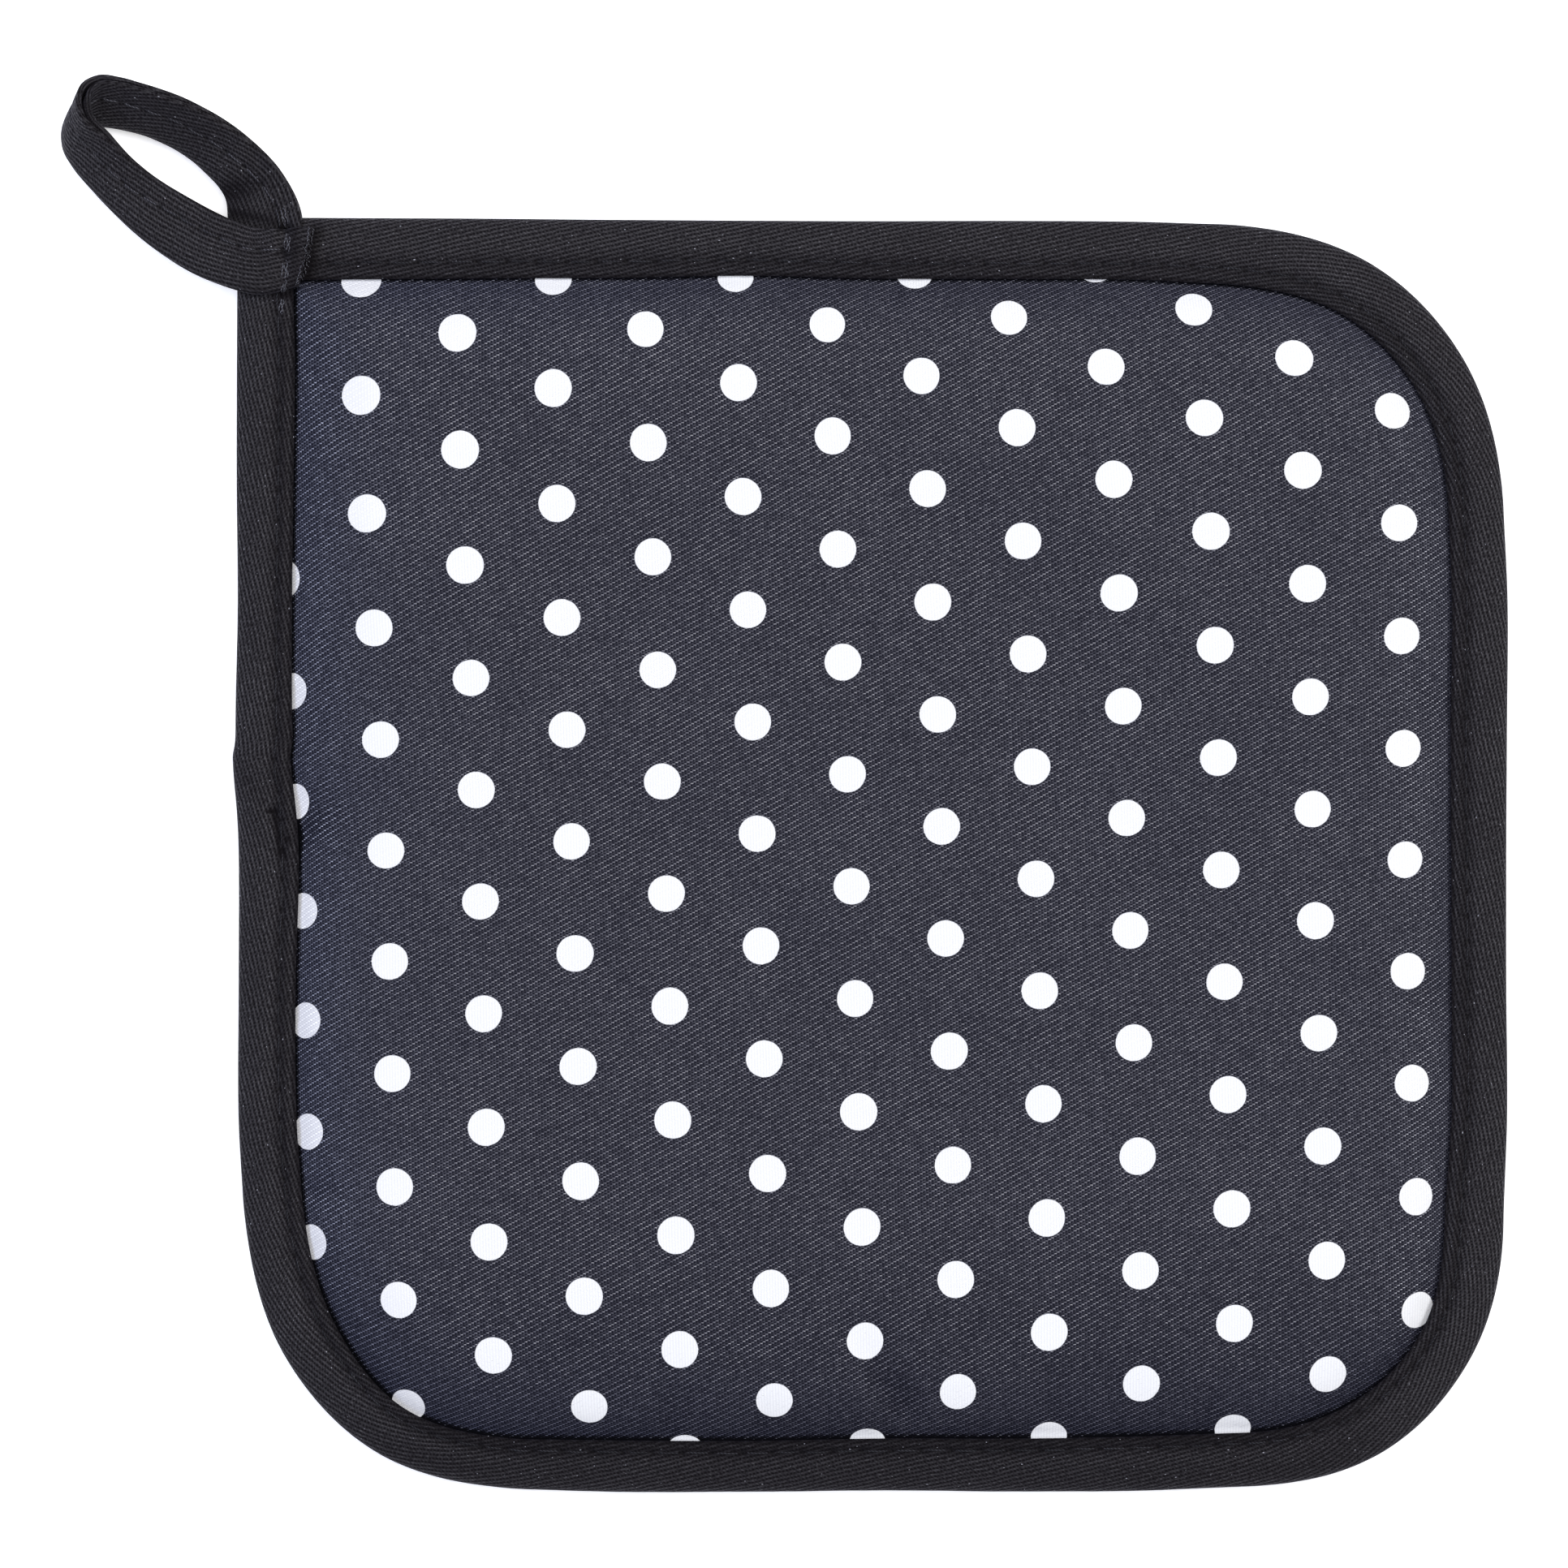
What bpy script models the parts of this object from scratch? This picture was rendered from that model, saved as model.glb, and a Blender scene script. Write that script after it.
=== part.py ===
"""Square padded pot holder with a taped edge and a hanging loop, lying face up.

The pad is one filled cushion with a thin flange all round. One length of folded twill tape
holds that flange, runs on past the square corner as the hanging loop, turns over at the
loop's tip and comes back across the corner. It is modelled as two solids, the edge binding
and the hanging loop, which meet under the crossing.

Metres, +Z up. The origin is the middle of the pad's flat underside. +X and +Y run along
the sides of the pad, and the loop leaves the corner at -X +Y.
"""

import math
from typing import NamedTuple

import bmesh
import bpy
from mathutils import Vector

MM = 0.001

# Driving dimensions.
BOUND_SIDE = 199.4 * MM  # across the pad, over its binding
EDGE_WANDER = 0.25 * MM  # how far the bound edge strays from a straight line
CLEARANCE = 0.3 * MM  # between one piece and the next
TAPE_THICKNESS = 1.0 * MM  # one layer of the twill tape
BINDING_WIDTH = 8.9 * MM  # folded tape, from its fold to its edges, where it holds the pad
FLANGE_THICKNESS = 1.6 * MM  # pressed edge of the pad inside the binding
FLANGE_INSET = 1.9 * MM  # raw edge of the pad, in from the fold of the binding
BINDING_LIFT = 0.6 * MM  # underside of the binding above the surface the pad lies on
PAD_HEIGHT = 8.5 * MM  # top of the pad's crown
CROWN_RUN = 5.5 * MM  # distance in which most of the crown is reached
UNDERSIDE_RUN = 6.0 * MM  # width of the curve from the flange down to the flat underside
PUCKER_HEIGHT = 0.35 * MM  # soft puckers that the topstitching draws in the pad
PUCKER_INSET = 19.0 * MM  # where they are highest, in from the bound edge
PUCKER_REACH = 8.0 * MM  # how far they spread from there
LOOP_SLIT = 0.3 * MM  # between the two layers of the loop

# Places that follow from them.
HALF_SIDE = BOUND_SIDE / 2
BINDING_SLIT = FLANGE_THICKNESS + 2 * CLEARANCE
BINDING_MIDDLE = BINDING_LIFT + TAPE_THICKNESS + BINDING_SLIT / 2
BINDING_TOP = BINDING_MIDDLE + BINDING_SLIT / 2 + TAPE_THICKNESS
FLANGE_TOP = BINDING_MIDDLE + FLANGE_THICKNESS / 2
FLANGE_BOTTOM = BINDING_MIDDLE - FLANGE_THICKNESS / 2
CROSSING_MIDDLE = BINDING_TOP + CLEARANCE + TAPE_THICKNESS + LOOP_SLIT / 2

# Where the binding's two ends lie. The first starts beside the loop's neck, and the last
# stops under the crossing, where the loop carries on.
BINDING_START_X = -90.0 * MM
LOOP_START_Y = 89.7 * MM

# Fineness of the facets.
FOLD_STEPS = 6  # round the fold of the tape
CORNER_STEPS = 9  # round a corner of the pad
SIDE_STEPS = 11  # along a side of the pad
LOOP_STEPS = 3  # between two stations of the loop


class Corner(NamedTuple):
    """A corner of the bound pad: which way it lies from the middle, and its outer radius."""

    x_sign: int
    y_sign: int
    radius: float


# In clockwise order from the square corner that carries the loop.
CORNERS = (
    Corner(-1, 1, 0.0),
    Corner(1, 1, 45.7 * MM),
    Corner(1, -1, 41.8 * MM),
    Corner(-1, -1, 46.6 * MM),
)


class Station(NamedTuple):
    """One place along the middle of the loop's tape.

    roll is 0 where the tape lies flat as it does in the binding, 90 where it stands on its
    fold and 180 where it has turned over. slit is the space between its two layers.
    """

    x: float
    y: float
    z: float
    roll: float
    width: float
    slit: float


# The loop lies as it dropped, so its stations are places in millimetres, like a plan's.
LOOP_STATIONS = (
    Station(-95.2, 89.7, BINDING_MIDDLE / MM, 0, 8.9, BINDING_SLIT / MM),
    Station(-95.3, 94.4, BINDING_MIDDLE / MM, 0, 9.4, BINDING_SLIT / MM),
    Station(-95.5, 99.6, BINDING_MIDDLE / MM, 0, 10.0, BINDING_SLIT / MM),
    Station(-97.0, 105.1, 3.1, 9, 9.7, 0.5),
    Station(-101.4, 110.6, 3.7, 19, 9.1, LOOP_SLIT / MM),
    Station(-107.8, 114.7, 4.3, 35, 9.0, LOOP_SLIT / MM),
    Station(-115.8, 117.5, 4.8, 39, 9.1, LOOP_SLIT / MM),
    Station(-121.0, 118.8, 5.1, 52, 9.1, LOOP_SLIT / MM),
    Station(-124.0, 117.6, 5.2, 90, 9.1, LOOP_SLIT / MM),
    Station(-124.9, 114.7, 4.9, 119, 9.1, LOOP_SLIT / MM),
    Station(-123.5, 110.4, 4.8, 146, 9.1, LOOP_SLIT / MM),
    Station(-117.5, 104.1, 4.9, 168, 9.1, LOOP_SLIT / MM),
    Station(-109.7, 98.2, 5.3, 177, 9.1, LOOP_SLIT / MM),
    Station(-102.5, 94.2, 6.0, 180, 9.2, LOOP_SLIT / MM),
    Station(-96.9, 93.1, CROSSING_MIDDLE / MM, 180, 9.6, LOOP_SLIT / MM),
    Station(-88.9, 93.6, CROSSING_MIDDLE / MM, 180, 9.6, LOOP_SLIT / MM),
)


class TapeFrame(NamedTuple):
    """One cross-section of the folded tape.

    fold is the point where the fold would touch, across points from the fold to the open
    edges, and face points out of the layer that shows where the tape binds the pad.
    """

    fold: Vector
    across: Vector
    face: Vector
    width: float
    slit: float


def clear_scene():
    """Remove whatever the scene starts with."""
    for thing in list(bpy.data.objects):
        bpy.data.objects.remove(thing, do_unlink=True)


def make_material(name, colour, roughness):
    """Return a cloth material with one colour."""
    material = bpy.data.materials.new(name)
    material.use_nodes = True
    shader = material.node_tree.nodes["Principled BSDF"]
    shader.inputs["Base Color"].default_value = (*colour, 1.0)
    shader.inputs["Roughness"].default_value = roughness
    shader.inputs["Metallic"].default_value = 0.0
    return material


def make_object(name, vertices, faces, material):
    """Turn points and faces into one smooth-shaded object."""
    mesh = bpy.data.meshes.new(name)
    mesh.from_pydata([tuple(point) for point in vertices], [], faces)
    form = bmesh.new()
    form.from_mesh(mesh)
    bmesh.ops.recalc_face_normals(form, faces=form.faces)
    form.to_mesh(mesh)
    form.free()
    mesh.materials.append(material)
    mesh.shade_smooth()
    mesh.set_sharp_from_angle(angle=math.radians(40))
    thing = bpy.data.objects.new(name, mesh)
    bpy.context.collection.objects.link(thing)
    return thing


def smooth_step(amount):
    """Ease from 0 to 1 as amount goes from 0 to 1."""
    amount = min(max(amount, 0.0), 1.0)
    return amount * amount * (3 - 2 * amount)


# ---------------------------------------------------------------- outline of the pad


def wander(x, y):
    """Return how far the bound edge strays outward at a place on it."""
    return EDGE_WANDER * math.sin(x * 37 + 0.6) * math.sin(y * 31 + 1.1)


def corner_points(corner, inset):
    """Return the (point, outward) pairs of one corner, clockwise, inset from the edge."""
    turn_from = math.atan2(corner.y_sign, corner.x_sign) + math.pi / 4
    middle_x = corner.x_sign * (HALF_SIDE - corner.radius)
    middle_y = corner.y_sign * (HALF_SIDE - corner.radius)
    pairs = []
    if corner.radius == 0:
        diagonal = Vector((corner.x_sign, corner.y_sign, 0))
        pairs.append((Vector((middle_x, middle_y, 0)) - diagonal * inset, diagonal))
        return pairs
    for step in range(CORNER_STEPS + 1):
        angle = turn_from - math.pi / 2 * step / CORNER_STEPS
        outward = Vector((math.cos(angle), math.sin(angle), 0))
        reach = corner.radius - inset
        pairs.append((Vector((middle_x, middle_y, 0)) + outward * reach, outward))
    return pairs


def side_points(start, end, outward):
    """Return the (point, outward) pairs strictly between two corner points."""
    pairs = []
    for step in range(1, SIDE_STEPS):
        pairs.append((start.lerp(end, step / SIDE_STEPS), outward))
    return pairs


def outline(inset):
    """Return the pad's outline as (point, outward) pairs, clockwise from the square corner."""
    turns = [corner_points(corner, inset) for corner in CORNERS]
    sides = (Vector((0, 1, 0)), Vector((1, 0, 0)), Vector((0, -1, 0)), Vector((-1, 0, 0)))
    pairs = []
    for index, turn in enumerate(turns):
        following = turns[(index + 1) % len(turns)]
        pairs.extend(turn)
        pairs.extend(side_points(turn[-1][0], following[0][0], sides[index]))
    return [(point + outward * wander(*point.xy), outward) for point, outward in pairs]


# ---------------------------------------------------------------- the padded panel


def crown(inset):
    """Return the height of the pad's top at a distance in from the bound edge."""
    inner = max(inset - BINDING_WIDTH, 0.0)
    return FLANGE_TOP + (PAD_HEIGHT - FLANGE_TOP) * (1 - math.exp(-inner / CROWN_RUN))


def underside(inset):
    """Return the height of the pad's underside at a distance in from the bound edge."""
    inner = (inset - BINDING_WIDTH) / UNDERSIDE_RUN
    return FLANGE_BOTTOM * (1 - smooth_step(inner))


def pucker(point, inset):
    """Return the height of the soft puckers that the topstitching draws near the binding."""
    fade = math.exp(-(((inset - PUCKER_INSET) / PUCKER_REACH) ** 2))
    return PUCKER_HEIGHT * fade * math.sin(point.x * 155 + 0.8) * math.sin(point.y * 140 + 0.3)


def top_ring(inset):
    """Return the outline of the pad's top at a distance in from the bound edge."""
    ring = []
    for point, _ in outline(inset):
        height = crown(inset)
        if inset > BINDING_WIDTH:
            height += pucker(point, inset)
        ring.append(Vector((point.x, point.y, height)))
    return ring


def bottom_ring(inset):
    """Return the outline of the pad's underside at a distance in from the bound edge."""
    return [Vector((point.x, point.y, underside(inset))) for point, _ in outline(inset)]


def shrunk(ring, share):
    """Return a ring drawn in towards the middle of the pad, at the crown's height."""
    return [Vector((point.x * share, point.y * share, PAD_HEIGHT)) for point in ring]


def panel():
    """Build the pad: flat below, crowned above, with a pressed flange all round."""
    slope = [BINDING_WIDTH + run * MM for run in (1.0, 2.5, 4.5, 7.5, 11.0, 16.0, 24.0)]
    curve = [BINDING_WIDTH + UNDERSIDE_RUN * share for share in (0.35, 0.7, 1.0)]
    top = [top_ring(inset) for inset in (FLANGE_INSET, BINDING_WIDTH, *slope)]
    top += [shrunk(top[-1], share) for share in (0.7, 0.35)]
    bottom = [bottom_ring(inset) for inset in (FLANGE_INSET, BINDING_WIDTH, *curve)]

    rings = [*reversed(bottom), *top]
    count = len(rings[0])
    vertices = [point for ring in rings for point in ring]
    faces = []
    for level in range(len(rings) - 1):
        low = level * count
        high = low + count
        for place in range(count):
            following = (place + 1) % count
            faces.append((low + place, low + following, high + following, high + place))
    top_centre = len(vertices)
    vertices.append(Vector((0, 0, PAD_HEIGHT)))
    last = (len(rings) - 1) * count
    for place in range(count):
        faces.append((last + place, last + (place + 1) % count, top_centre))
    faces.append(tuple(range(count)))
    navy = make_material("spotted_cloth", (0.026, 0.027, 0.042), 0.75)
    return make_object("panel", vertices, faces, navy)


# ---------------------------------------------------------------- the folded tape


def tape_skins(width, slit):
    """Return the outer and inner skins of the folded tape's section.

    Each is a list of (across, up) pairs from the top layer's edge round the fold to the
    bottom layer's edge, across being measured from the fold.
    """
    outer_radius = slit / 2 + TAPE_THICKNESS
    skins = []
    for radius in (outer_radius, slit / 2):
        skin = [(width, radius)]
        for step in range(FOLD_STEPS + 1):
            angle = math.pi / 2 + math.pi * step / FOLD_STEPS
            skin.append((outer_radius + radius * math.cos(angle), radius * math.sin(angle)))
        skin.append((width, -radius))
        skins.append(skin)
    return skins


def tape(name, frames, material):
    """Sweep the folded tape along its frames and close both ends."""
    vertices = []
    for frame in frames:
        for skin in tape_skins(frame.width, frame.slit):
            for across, up in skin:
                vertices.append(frame.fold + frame.across * across + frame.face * up)
    skin_count = FOLD_STEPS + 3
    section_count = 2 * skin_count
    border = [*range(skin_count), *reversed(range(skin_count, section_count))]
    faces = []
    for index in range(len(frames) - 1):
        near = index * section_count
        far = near + section_count
        for place, corner in enumerate(border):
            following = border[(place + 1) % section_count]
            faces.append((near + corner, near + following, far + following, far + corner))
    for start in (0, (len(frames) - 1) * section_count):
        for place in range(skin_count - 1):
            outer = start + place
            inner = outer + skin_count
            faces.append((outer, outer + 1, inner + 1, inner))
    return make_object(name, vertices, faces, material)


def binding_frame(point, outward):
    """Return the tape's section where its fold touches a point of the bound edge."""
    fold = Vector((point.x, point.y, BINDING_MIDDLE))
    return TapeFrame(fold, -outward, Vector((0, 0, 1)), BINDING_WIDTH, BINDING_SLIT)


def edge_binding(material):
    """Build the tape round the pad, clockwise from the loop's neck to under the crossing."""
    start = Vector((BINDING_START_X, HALF_SIDE, 0))
    end = Vector((-HALF_SIDE, LOOP_START_Y - CLEARANCE, 0))
    frames = [binding_frame(start, Vector((0, 1, 0)))]
    for point, outward in outline(0.0)[1:]:
        past_start = point.x > BINDING_START_X + BINDING_WIDTH
        before_end = point.y < end.y - BINDING_WIDTH
        if past_start or before_end:
            frames.append(binding_frame(point, outward))
    frames.append(binding_frame(end, Vector((-1, 0, 0))))
    return tape("edge_binding", frames, material)


def between(stations, index, amount):
    """Return the station a share of the way from one to the next, on a smooth curve."""
    before = stations[max(index - 1, 0)]
    here = stations[index]
    after = stations[index + 1]
    beyond = stations[min(index + 2, len(stations) - 1)]
    values = []
    for first, second, third, fourth in zip(before, here, after, beyond):
        bend = 2 * first - 5 * second + 4 * third - fourth
        twist = 3 * second - first - 3 * third + fourth
        rise = (third - first) * amount + bend * amount**2 + twist * amount**3
        values.append(second + rise / 2)
    return Station(*values)


def loop_stations():
    """Return the loop's stations with the steps between them filled in."""
    stations = []
    for index in range(len(LOOP_STATIONS) - 1):
        for step in range(LOOP_STEPS):
            stations.append(between(LOOP_STATIONS, index, step / LOOP_STEPS))
    stations.append(LOOP_STATIONS[-1])
    return stations


def loop_frame(station, heading):
    """Return the tape's section at a station of the loop.

    Args:
        station: where the middle of the tape is, and how it is rolled.
        heading: the way that the tape runs there.
    """
    upright = Vector((0, 0, 1))
    right = heading.cross(upright).normalized()
    over = right.cross(heading).normalized()
    roll = math.radians(station.roll)
    across = right * math.cos(roll) + over * math.sin(roll)
    face = over * math.cos(roll) - right * math.sin(roll)
    middle = Vector((station.x, station.y, station.z)) * MM
    width = station.width * MM
    return TapeFrame(middle - across * (width / 2), across, face, width, station.slit * MM)


def hanging_loop(material):
    """Build the loop from under the crossing, round its tip and back over the corner."""
    stations = loop_stations()
    places = [Vector((station.x, station.y, station.z)) for station in stations]
    frames = []
    for index, station in enumerate(stations):
        behind = places[max(index - 1, 0)]
        ahead = places[min(index + 1, len(places) - 1)]
        frames.append(loop_frame(station, (ahead - behind).normalized()))
    return tape("hanging_loop", frames, material)


def main():
    """Build the pot holder."""
    clear_scene()
    panel()
    black = make_material("twill_tape", (0.012, 0.012, 0.016), 0.85)
    edge_binding(black)
    hanging_loop(black)


main()
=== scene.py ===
"""Looks of a taped, spotted pot holder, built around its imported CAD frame.

The pot holder lies face up on a pale floor: a padded square of printed twill, bound all
round with folded black tape that runs on past the square corner as the hanging loop, turns
over at its tip and comes back across the corner. Lengths are in millimetres until a mesh is
made. Along a cloth means down its length, and across means over its width.
"""

import logging
import math
from dataclasses import dataclass, field
from enum import Enum
from functools import partial

import bpy
import numpy as np
from bpy.types import NodeSocket, NodeTree
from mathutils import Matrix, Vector
from mathutils.bvhtree import BVHTree
from mathutils.geometry import tessellate_polygon


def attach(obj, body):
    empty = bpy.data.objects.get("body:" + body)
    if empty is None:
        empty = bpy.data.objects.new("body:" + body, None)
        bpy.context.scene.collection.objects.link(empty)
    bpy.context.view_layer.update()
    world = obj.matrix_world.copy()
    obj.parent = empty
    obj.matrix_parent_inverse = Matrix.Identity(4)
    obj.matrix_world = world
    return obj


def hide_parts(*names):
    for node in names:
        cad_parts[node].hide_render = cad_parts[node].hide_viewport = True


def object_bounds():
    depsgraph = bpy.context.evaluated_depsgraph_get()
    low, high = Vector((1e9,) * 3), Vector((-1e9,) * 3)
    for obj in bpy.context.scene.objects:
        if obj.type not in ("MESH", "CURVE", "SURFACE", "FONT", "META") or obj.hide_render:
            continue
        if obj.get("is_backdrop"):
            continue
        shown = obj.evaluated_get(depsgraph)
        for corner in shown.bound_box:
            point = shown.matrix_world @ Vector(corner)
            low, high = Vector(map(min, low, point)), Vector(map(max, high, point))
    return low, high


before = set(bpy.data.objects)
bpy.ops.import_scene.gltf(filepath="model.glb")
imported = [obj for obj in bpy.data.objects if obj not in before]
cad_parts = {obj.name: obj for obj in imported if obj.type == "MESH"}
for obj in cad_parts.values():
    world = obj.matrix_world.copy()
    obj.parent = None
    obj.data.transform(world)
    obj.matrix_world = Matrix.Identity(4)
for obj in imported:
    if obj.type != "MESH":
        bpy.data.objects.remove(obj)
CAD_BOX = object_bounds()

MM = 0.001
PICTURE_SIDE = 1932  # pixels
PIXELS_PER_MM = 7.84  # of the photograph, at the height of the tape's middle
LOG = logging.getLogger("pot_holder")

# Slow waves over a surface: for each its height, its lengths along x and y, and its phase.
Waves = tuple[tuple[float, float, float, float], ...]


# ------------------------------------------------------------------ small helpers


def linear(code: str) -> tuple[float, float, float, float]:
    """Turn an sRGB hex colour into linear light.

    Args:
        code: six hex digits.

    Returns:
        Linear red, green and blue, and an alpha of 1.
    """
    parts = [int(code[i : i + 2], 16) / 255 for i in (0, 2, 4)]
    light = [p / 12.92 if p <= 0.04045 else ((p + 0.055) / 1.055) ** 2.4 for p in parts]
    return (*light, 1.0)


def add_node(
    tree: NodeTree,
    kind: str,
    *values: object,
    inputs: dict | None = None,
    out: int | str = 0,
    **settings: object,
) -> NodeSocket:
    """Add one node with its settings and links.

    Args:
        tree: the node tree that takes it.
        kind: the node's Blender type, without the word ShaderNode in front.
        values: for its first inputs in order, the value or the socket that feeds each.
        inputs: the same for other inputs, by name or number.
        out: the output that is wanted.
        settings: the node's own properties.

    Returns:
        That output.
    """
    node = tree.nodes.new("ShaderNode" + kind)
    for name, value in settings.items():
        setattr(node, name, value)
    for key, value in {**dict(enumerate(values)), **(inputs or {})}.items():
        if isinstance(value, NodeSocket):
            tree.links.new(value, node.inputs[key])
        else:
            node.inputs[key].default_value = value
    return node.outputs[out]


def smooth_step(amount: np.ndarray) -> np.ndarray:
    """Ease from 0 to 1 as amount goes from 0 to 1."""
    held = np.clip(amount, 0.0, 1.0)
    return held * held * (3 - 2 * held)


def bell(distance: np.ndarray, reach: float | np.ndarray) -> np.ndarray:
    """Return a soft bump of height 1 that fades over its reach."""
    return np.exp(-((distance / reach) ** 2))


def read_table(values: np.ndarray, at: np.ndarray) -> np.ndarray:
    """Read an evenly spaced table on a smooth curve through its entries.

    Args:
        values: the table, one row for each entry.
        at: places in the table, counted in entries.

    Returns:
        One row for each place.
    """
    rows = np.asarray(values, float)
    last = len(rows) - 1
    here = np.clip(np.floor(at).astype(int), 0, last - 1)
    share = (at - here).reshape((-1,) + (1,) * (rows.ndim - 1))
    before, after = rows[np.maximum(here - 1, 0)], rows[here + 1]
    beyond = rows[np.minimum(here + 2, last)]
    start = rows[here]
    bend = 2 * before - 5 * start + 4 * after - beyond
    twist = 3 * start - before - 3 * after + beyond
    return start + ((after - before) * share + bend * share**2 + twist * share**3) / 2


def read_uneven(knots: np.ndarray, values: np.ndarray, at: np.ndarray) -> np.ndarray:
    """Read an unevenly spaced table on a smooth curve through its entries.

    Args:
        knots: where each entry is.
        values: the table, one row for each entry.
        at: places between the first knot and the last.

    Returns:
        One row for each place.
    """
    gaps = np.diff(knots)[:, None]
    slopes = np.diff(values, axis=0) / gaps
    inner = (slopes[:-1] * gaps[1:] + slopes[1:] * gaps[:-1]) / (gaps[1:] + gaps[:-1])
    tangents = np.vstack([slopes[:1], inner, slopes[-1:]])
    here = np.clip(np.searchsorted(knots, at, side="right") - 1, 0, len(gaps) - 1)
    share = (at - knots[here])[:, None] / gaps[here]
    start, end = tangents[here] * gaps[here], tangents[here + 1] * gaps[here]
    rise = values[here + 1] - values[here]
    bend = 3 * rise - 2 * start - end
    twist = start + end - 2 * rise
    return values[here] + start * share + bend * share**2 + twist * share**3


def normalised(rows: np.ndarray) -> np.ndarray:
    """Return each row as a direction of length 1."""
    return rows / np.linalg.norm(rows, axis=1, keepdims=True)


def ripples(waves: Waves, x: np.ndarray, y: np.ndarray) -> np.ndarray:
    """Add up slow waves over a surface.

    Args:
        waves: the waves.
        x: places along the first direction.
        y: places along the second.

    Returns:
        The height at each place.
    """
    total = np.zeros(np.broadcast(x, y).shape)
    for height, length_x, length_y, phase in waves:
        turn = x * (math.tau / length_x) + y * (math.tau / length_y)
        total += height * np.sin(turn + phase)
    return total


def make_piece(
    name: str,
    points: np.ndarray,
    faces: list,
    material: bpy.types.Material,
    marks: dict[str, np.ndarray] | None = None,
) -> bpy.types.Object:
    """Make one smooth mesh object from points in millimetres.

    Args:
        name: the piece's name.
        points: one row of x, y, z for each vertex.
        faces: for each face the numbers of its vertices.
        material: its finish.
        marks: named vectors, one row for each vertex, that the finish reads.

    Returns:
        The object, in the scene.
    """
    mesh = bpy.data.meshes.new(name)
    mesh.from_pydata((np.asarray(points) * MM).tolist(), [], faces)
    for mark, rows in (marks or {}).items():
        kept = mesh.attributes.new(mark, "FLOAT_VECTOR", "POINT")
        kept.data.foreach_set("vector", np.asarray(rows, np.float32).ravel())
    mesh.materials.append(material)
    mesh.shade_smooth()
    mesh.validate()
    mesh.update()
    piece = bpy.data.objects.new(name, mesh)
    bpy.context.scene.collection.objects.link(piece)
    return piece


def grid_faces(rows: int, columns: int, closed: bool) -> list[tuple[int, int, int, int]]:
    """Join rows of points into four-sided faces.

    Args:
        rows: how many rows there are.
        columns: how many points each row has.
        closed: whether the end of each row joins its start.

    Returns:
        The faces, as vertex numbers.
    """
    number = np.arange(rows * columns).reshape(rows, columns)
    if closed:
        number = np.hstack([number, number[:, :1]])
    quads = [number[:-1, :-1], number[:-1, 1:], number[1:, 1:], number[1:, :-1]]
    return np.stack(quads, -1).reshape(-1, 4).tolist()


# ------------------------------------------------------------------ finishes


class Slot(Enum):
    """The record's material slots."""

    SPOTTED_CLOTH = "spotted_cloth"
    TWILL_TAPE = "twill_tape"


# What a node that mixes two colours is set to. They are its inputs 6 and 7.
COLOUR_MIX = {"out": 2, "data_type": "RGBA"}

# Most of a noise texture lies between these.
MOST_NOISE = (0.3, 0.7)


@dataclass(frozen=True)
class Wave:
    """One plane wave of a weave's shading.

    Attributes:
        diagonal: how many of the weave's diagonal waves it holds.
        crossing: how many of its crossing ones.
        strength: how much it adds at its crest.
        phase: how far its crest lies before a crossing of threads, in degrees.
    """

    diagonal: int
    crossing: int
    strength: float
    phase: float = 0.0


@dataclass(frozen=True)
class Weave:
    """A twill's shading as a few plane waves.

    Attributes:
        diagonal: waves for each millimetre along and across the cloth, over its ridges.
        crossing: the same for the gaps along a ridge.
        waves: the waves, of shading between 0, a gap, and 1, a thread in full light.
    """

    diagonal: tuple[float, float]
    crossing: tuple[float, float]
    waves: tuple[Wave, ...]

    def shade(self, tree: NodeTree, place: NodeSocket, middle: float) -> NodeSocket:
        """Add the waves up in nodes.

        Args:
            tree: the material's nodes.
            place: millimetres along and across the cloth, and 1.
            middle: the shading's mean.

        Returns:
            The shading at each place.
        """
        add = partial(add_node, tree)
        total: float | NodeSocket = middle
        for wave in self.waves:
            turn = [
                math.tau * (wave.diagonal * a + wave.crossing * b)
                for a, b in zip(self.diagonal, self.crossing)
            ]
            steps = (*turn, math.radians(wave.phase))
            angle = add("VectorMath", place, steps, out="Value", operation="DOT_PRODUCT")
            crest = add("Math", angle, operation="COSINE")
            total = add("Math", crest, wave.strength, total, operation="MULTIPLY_ADD")
        return total


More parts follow.
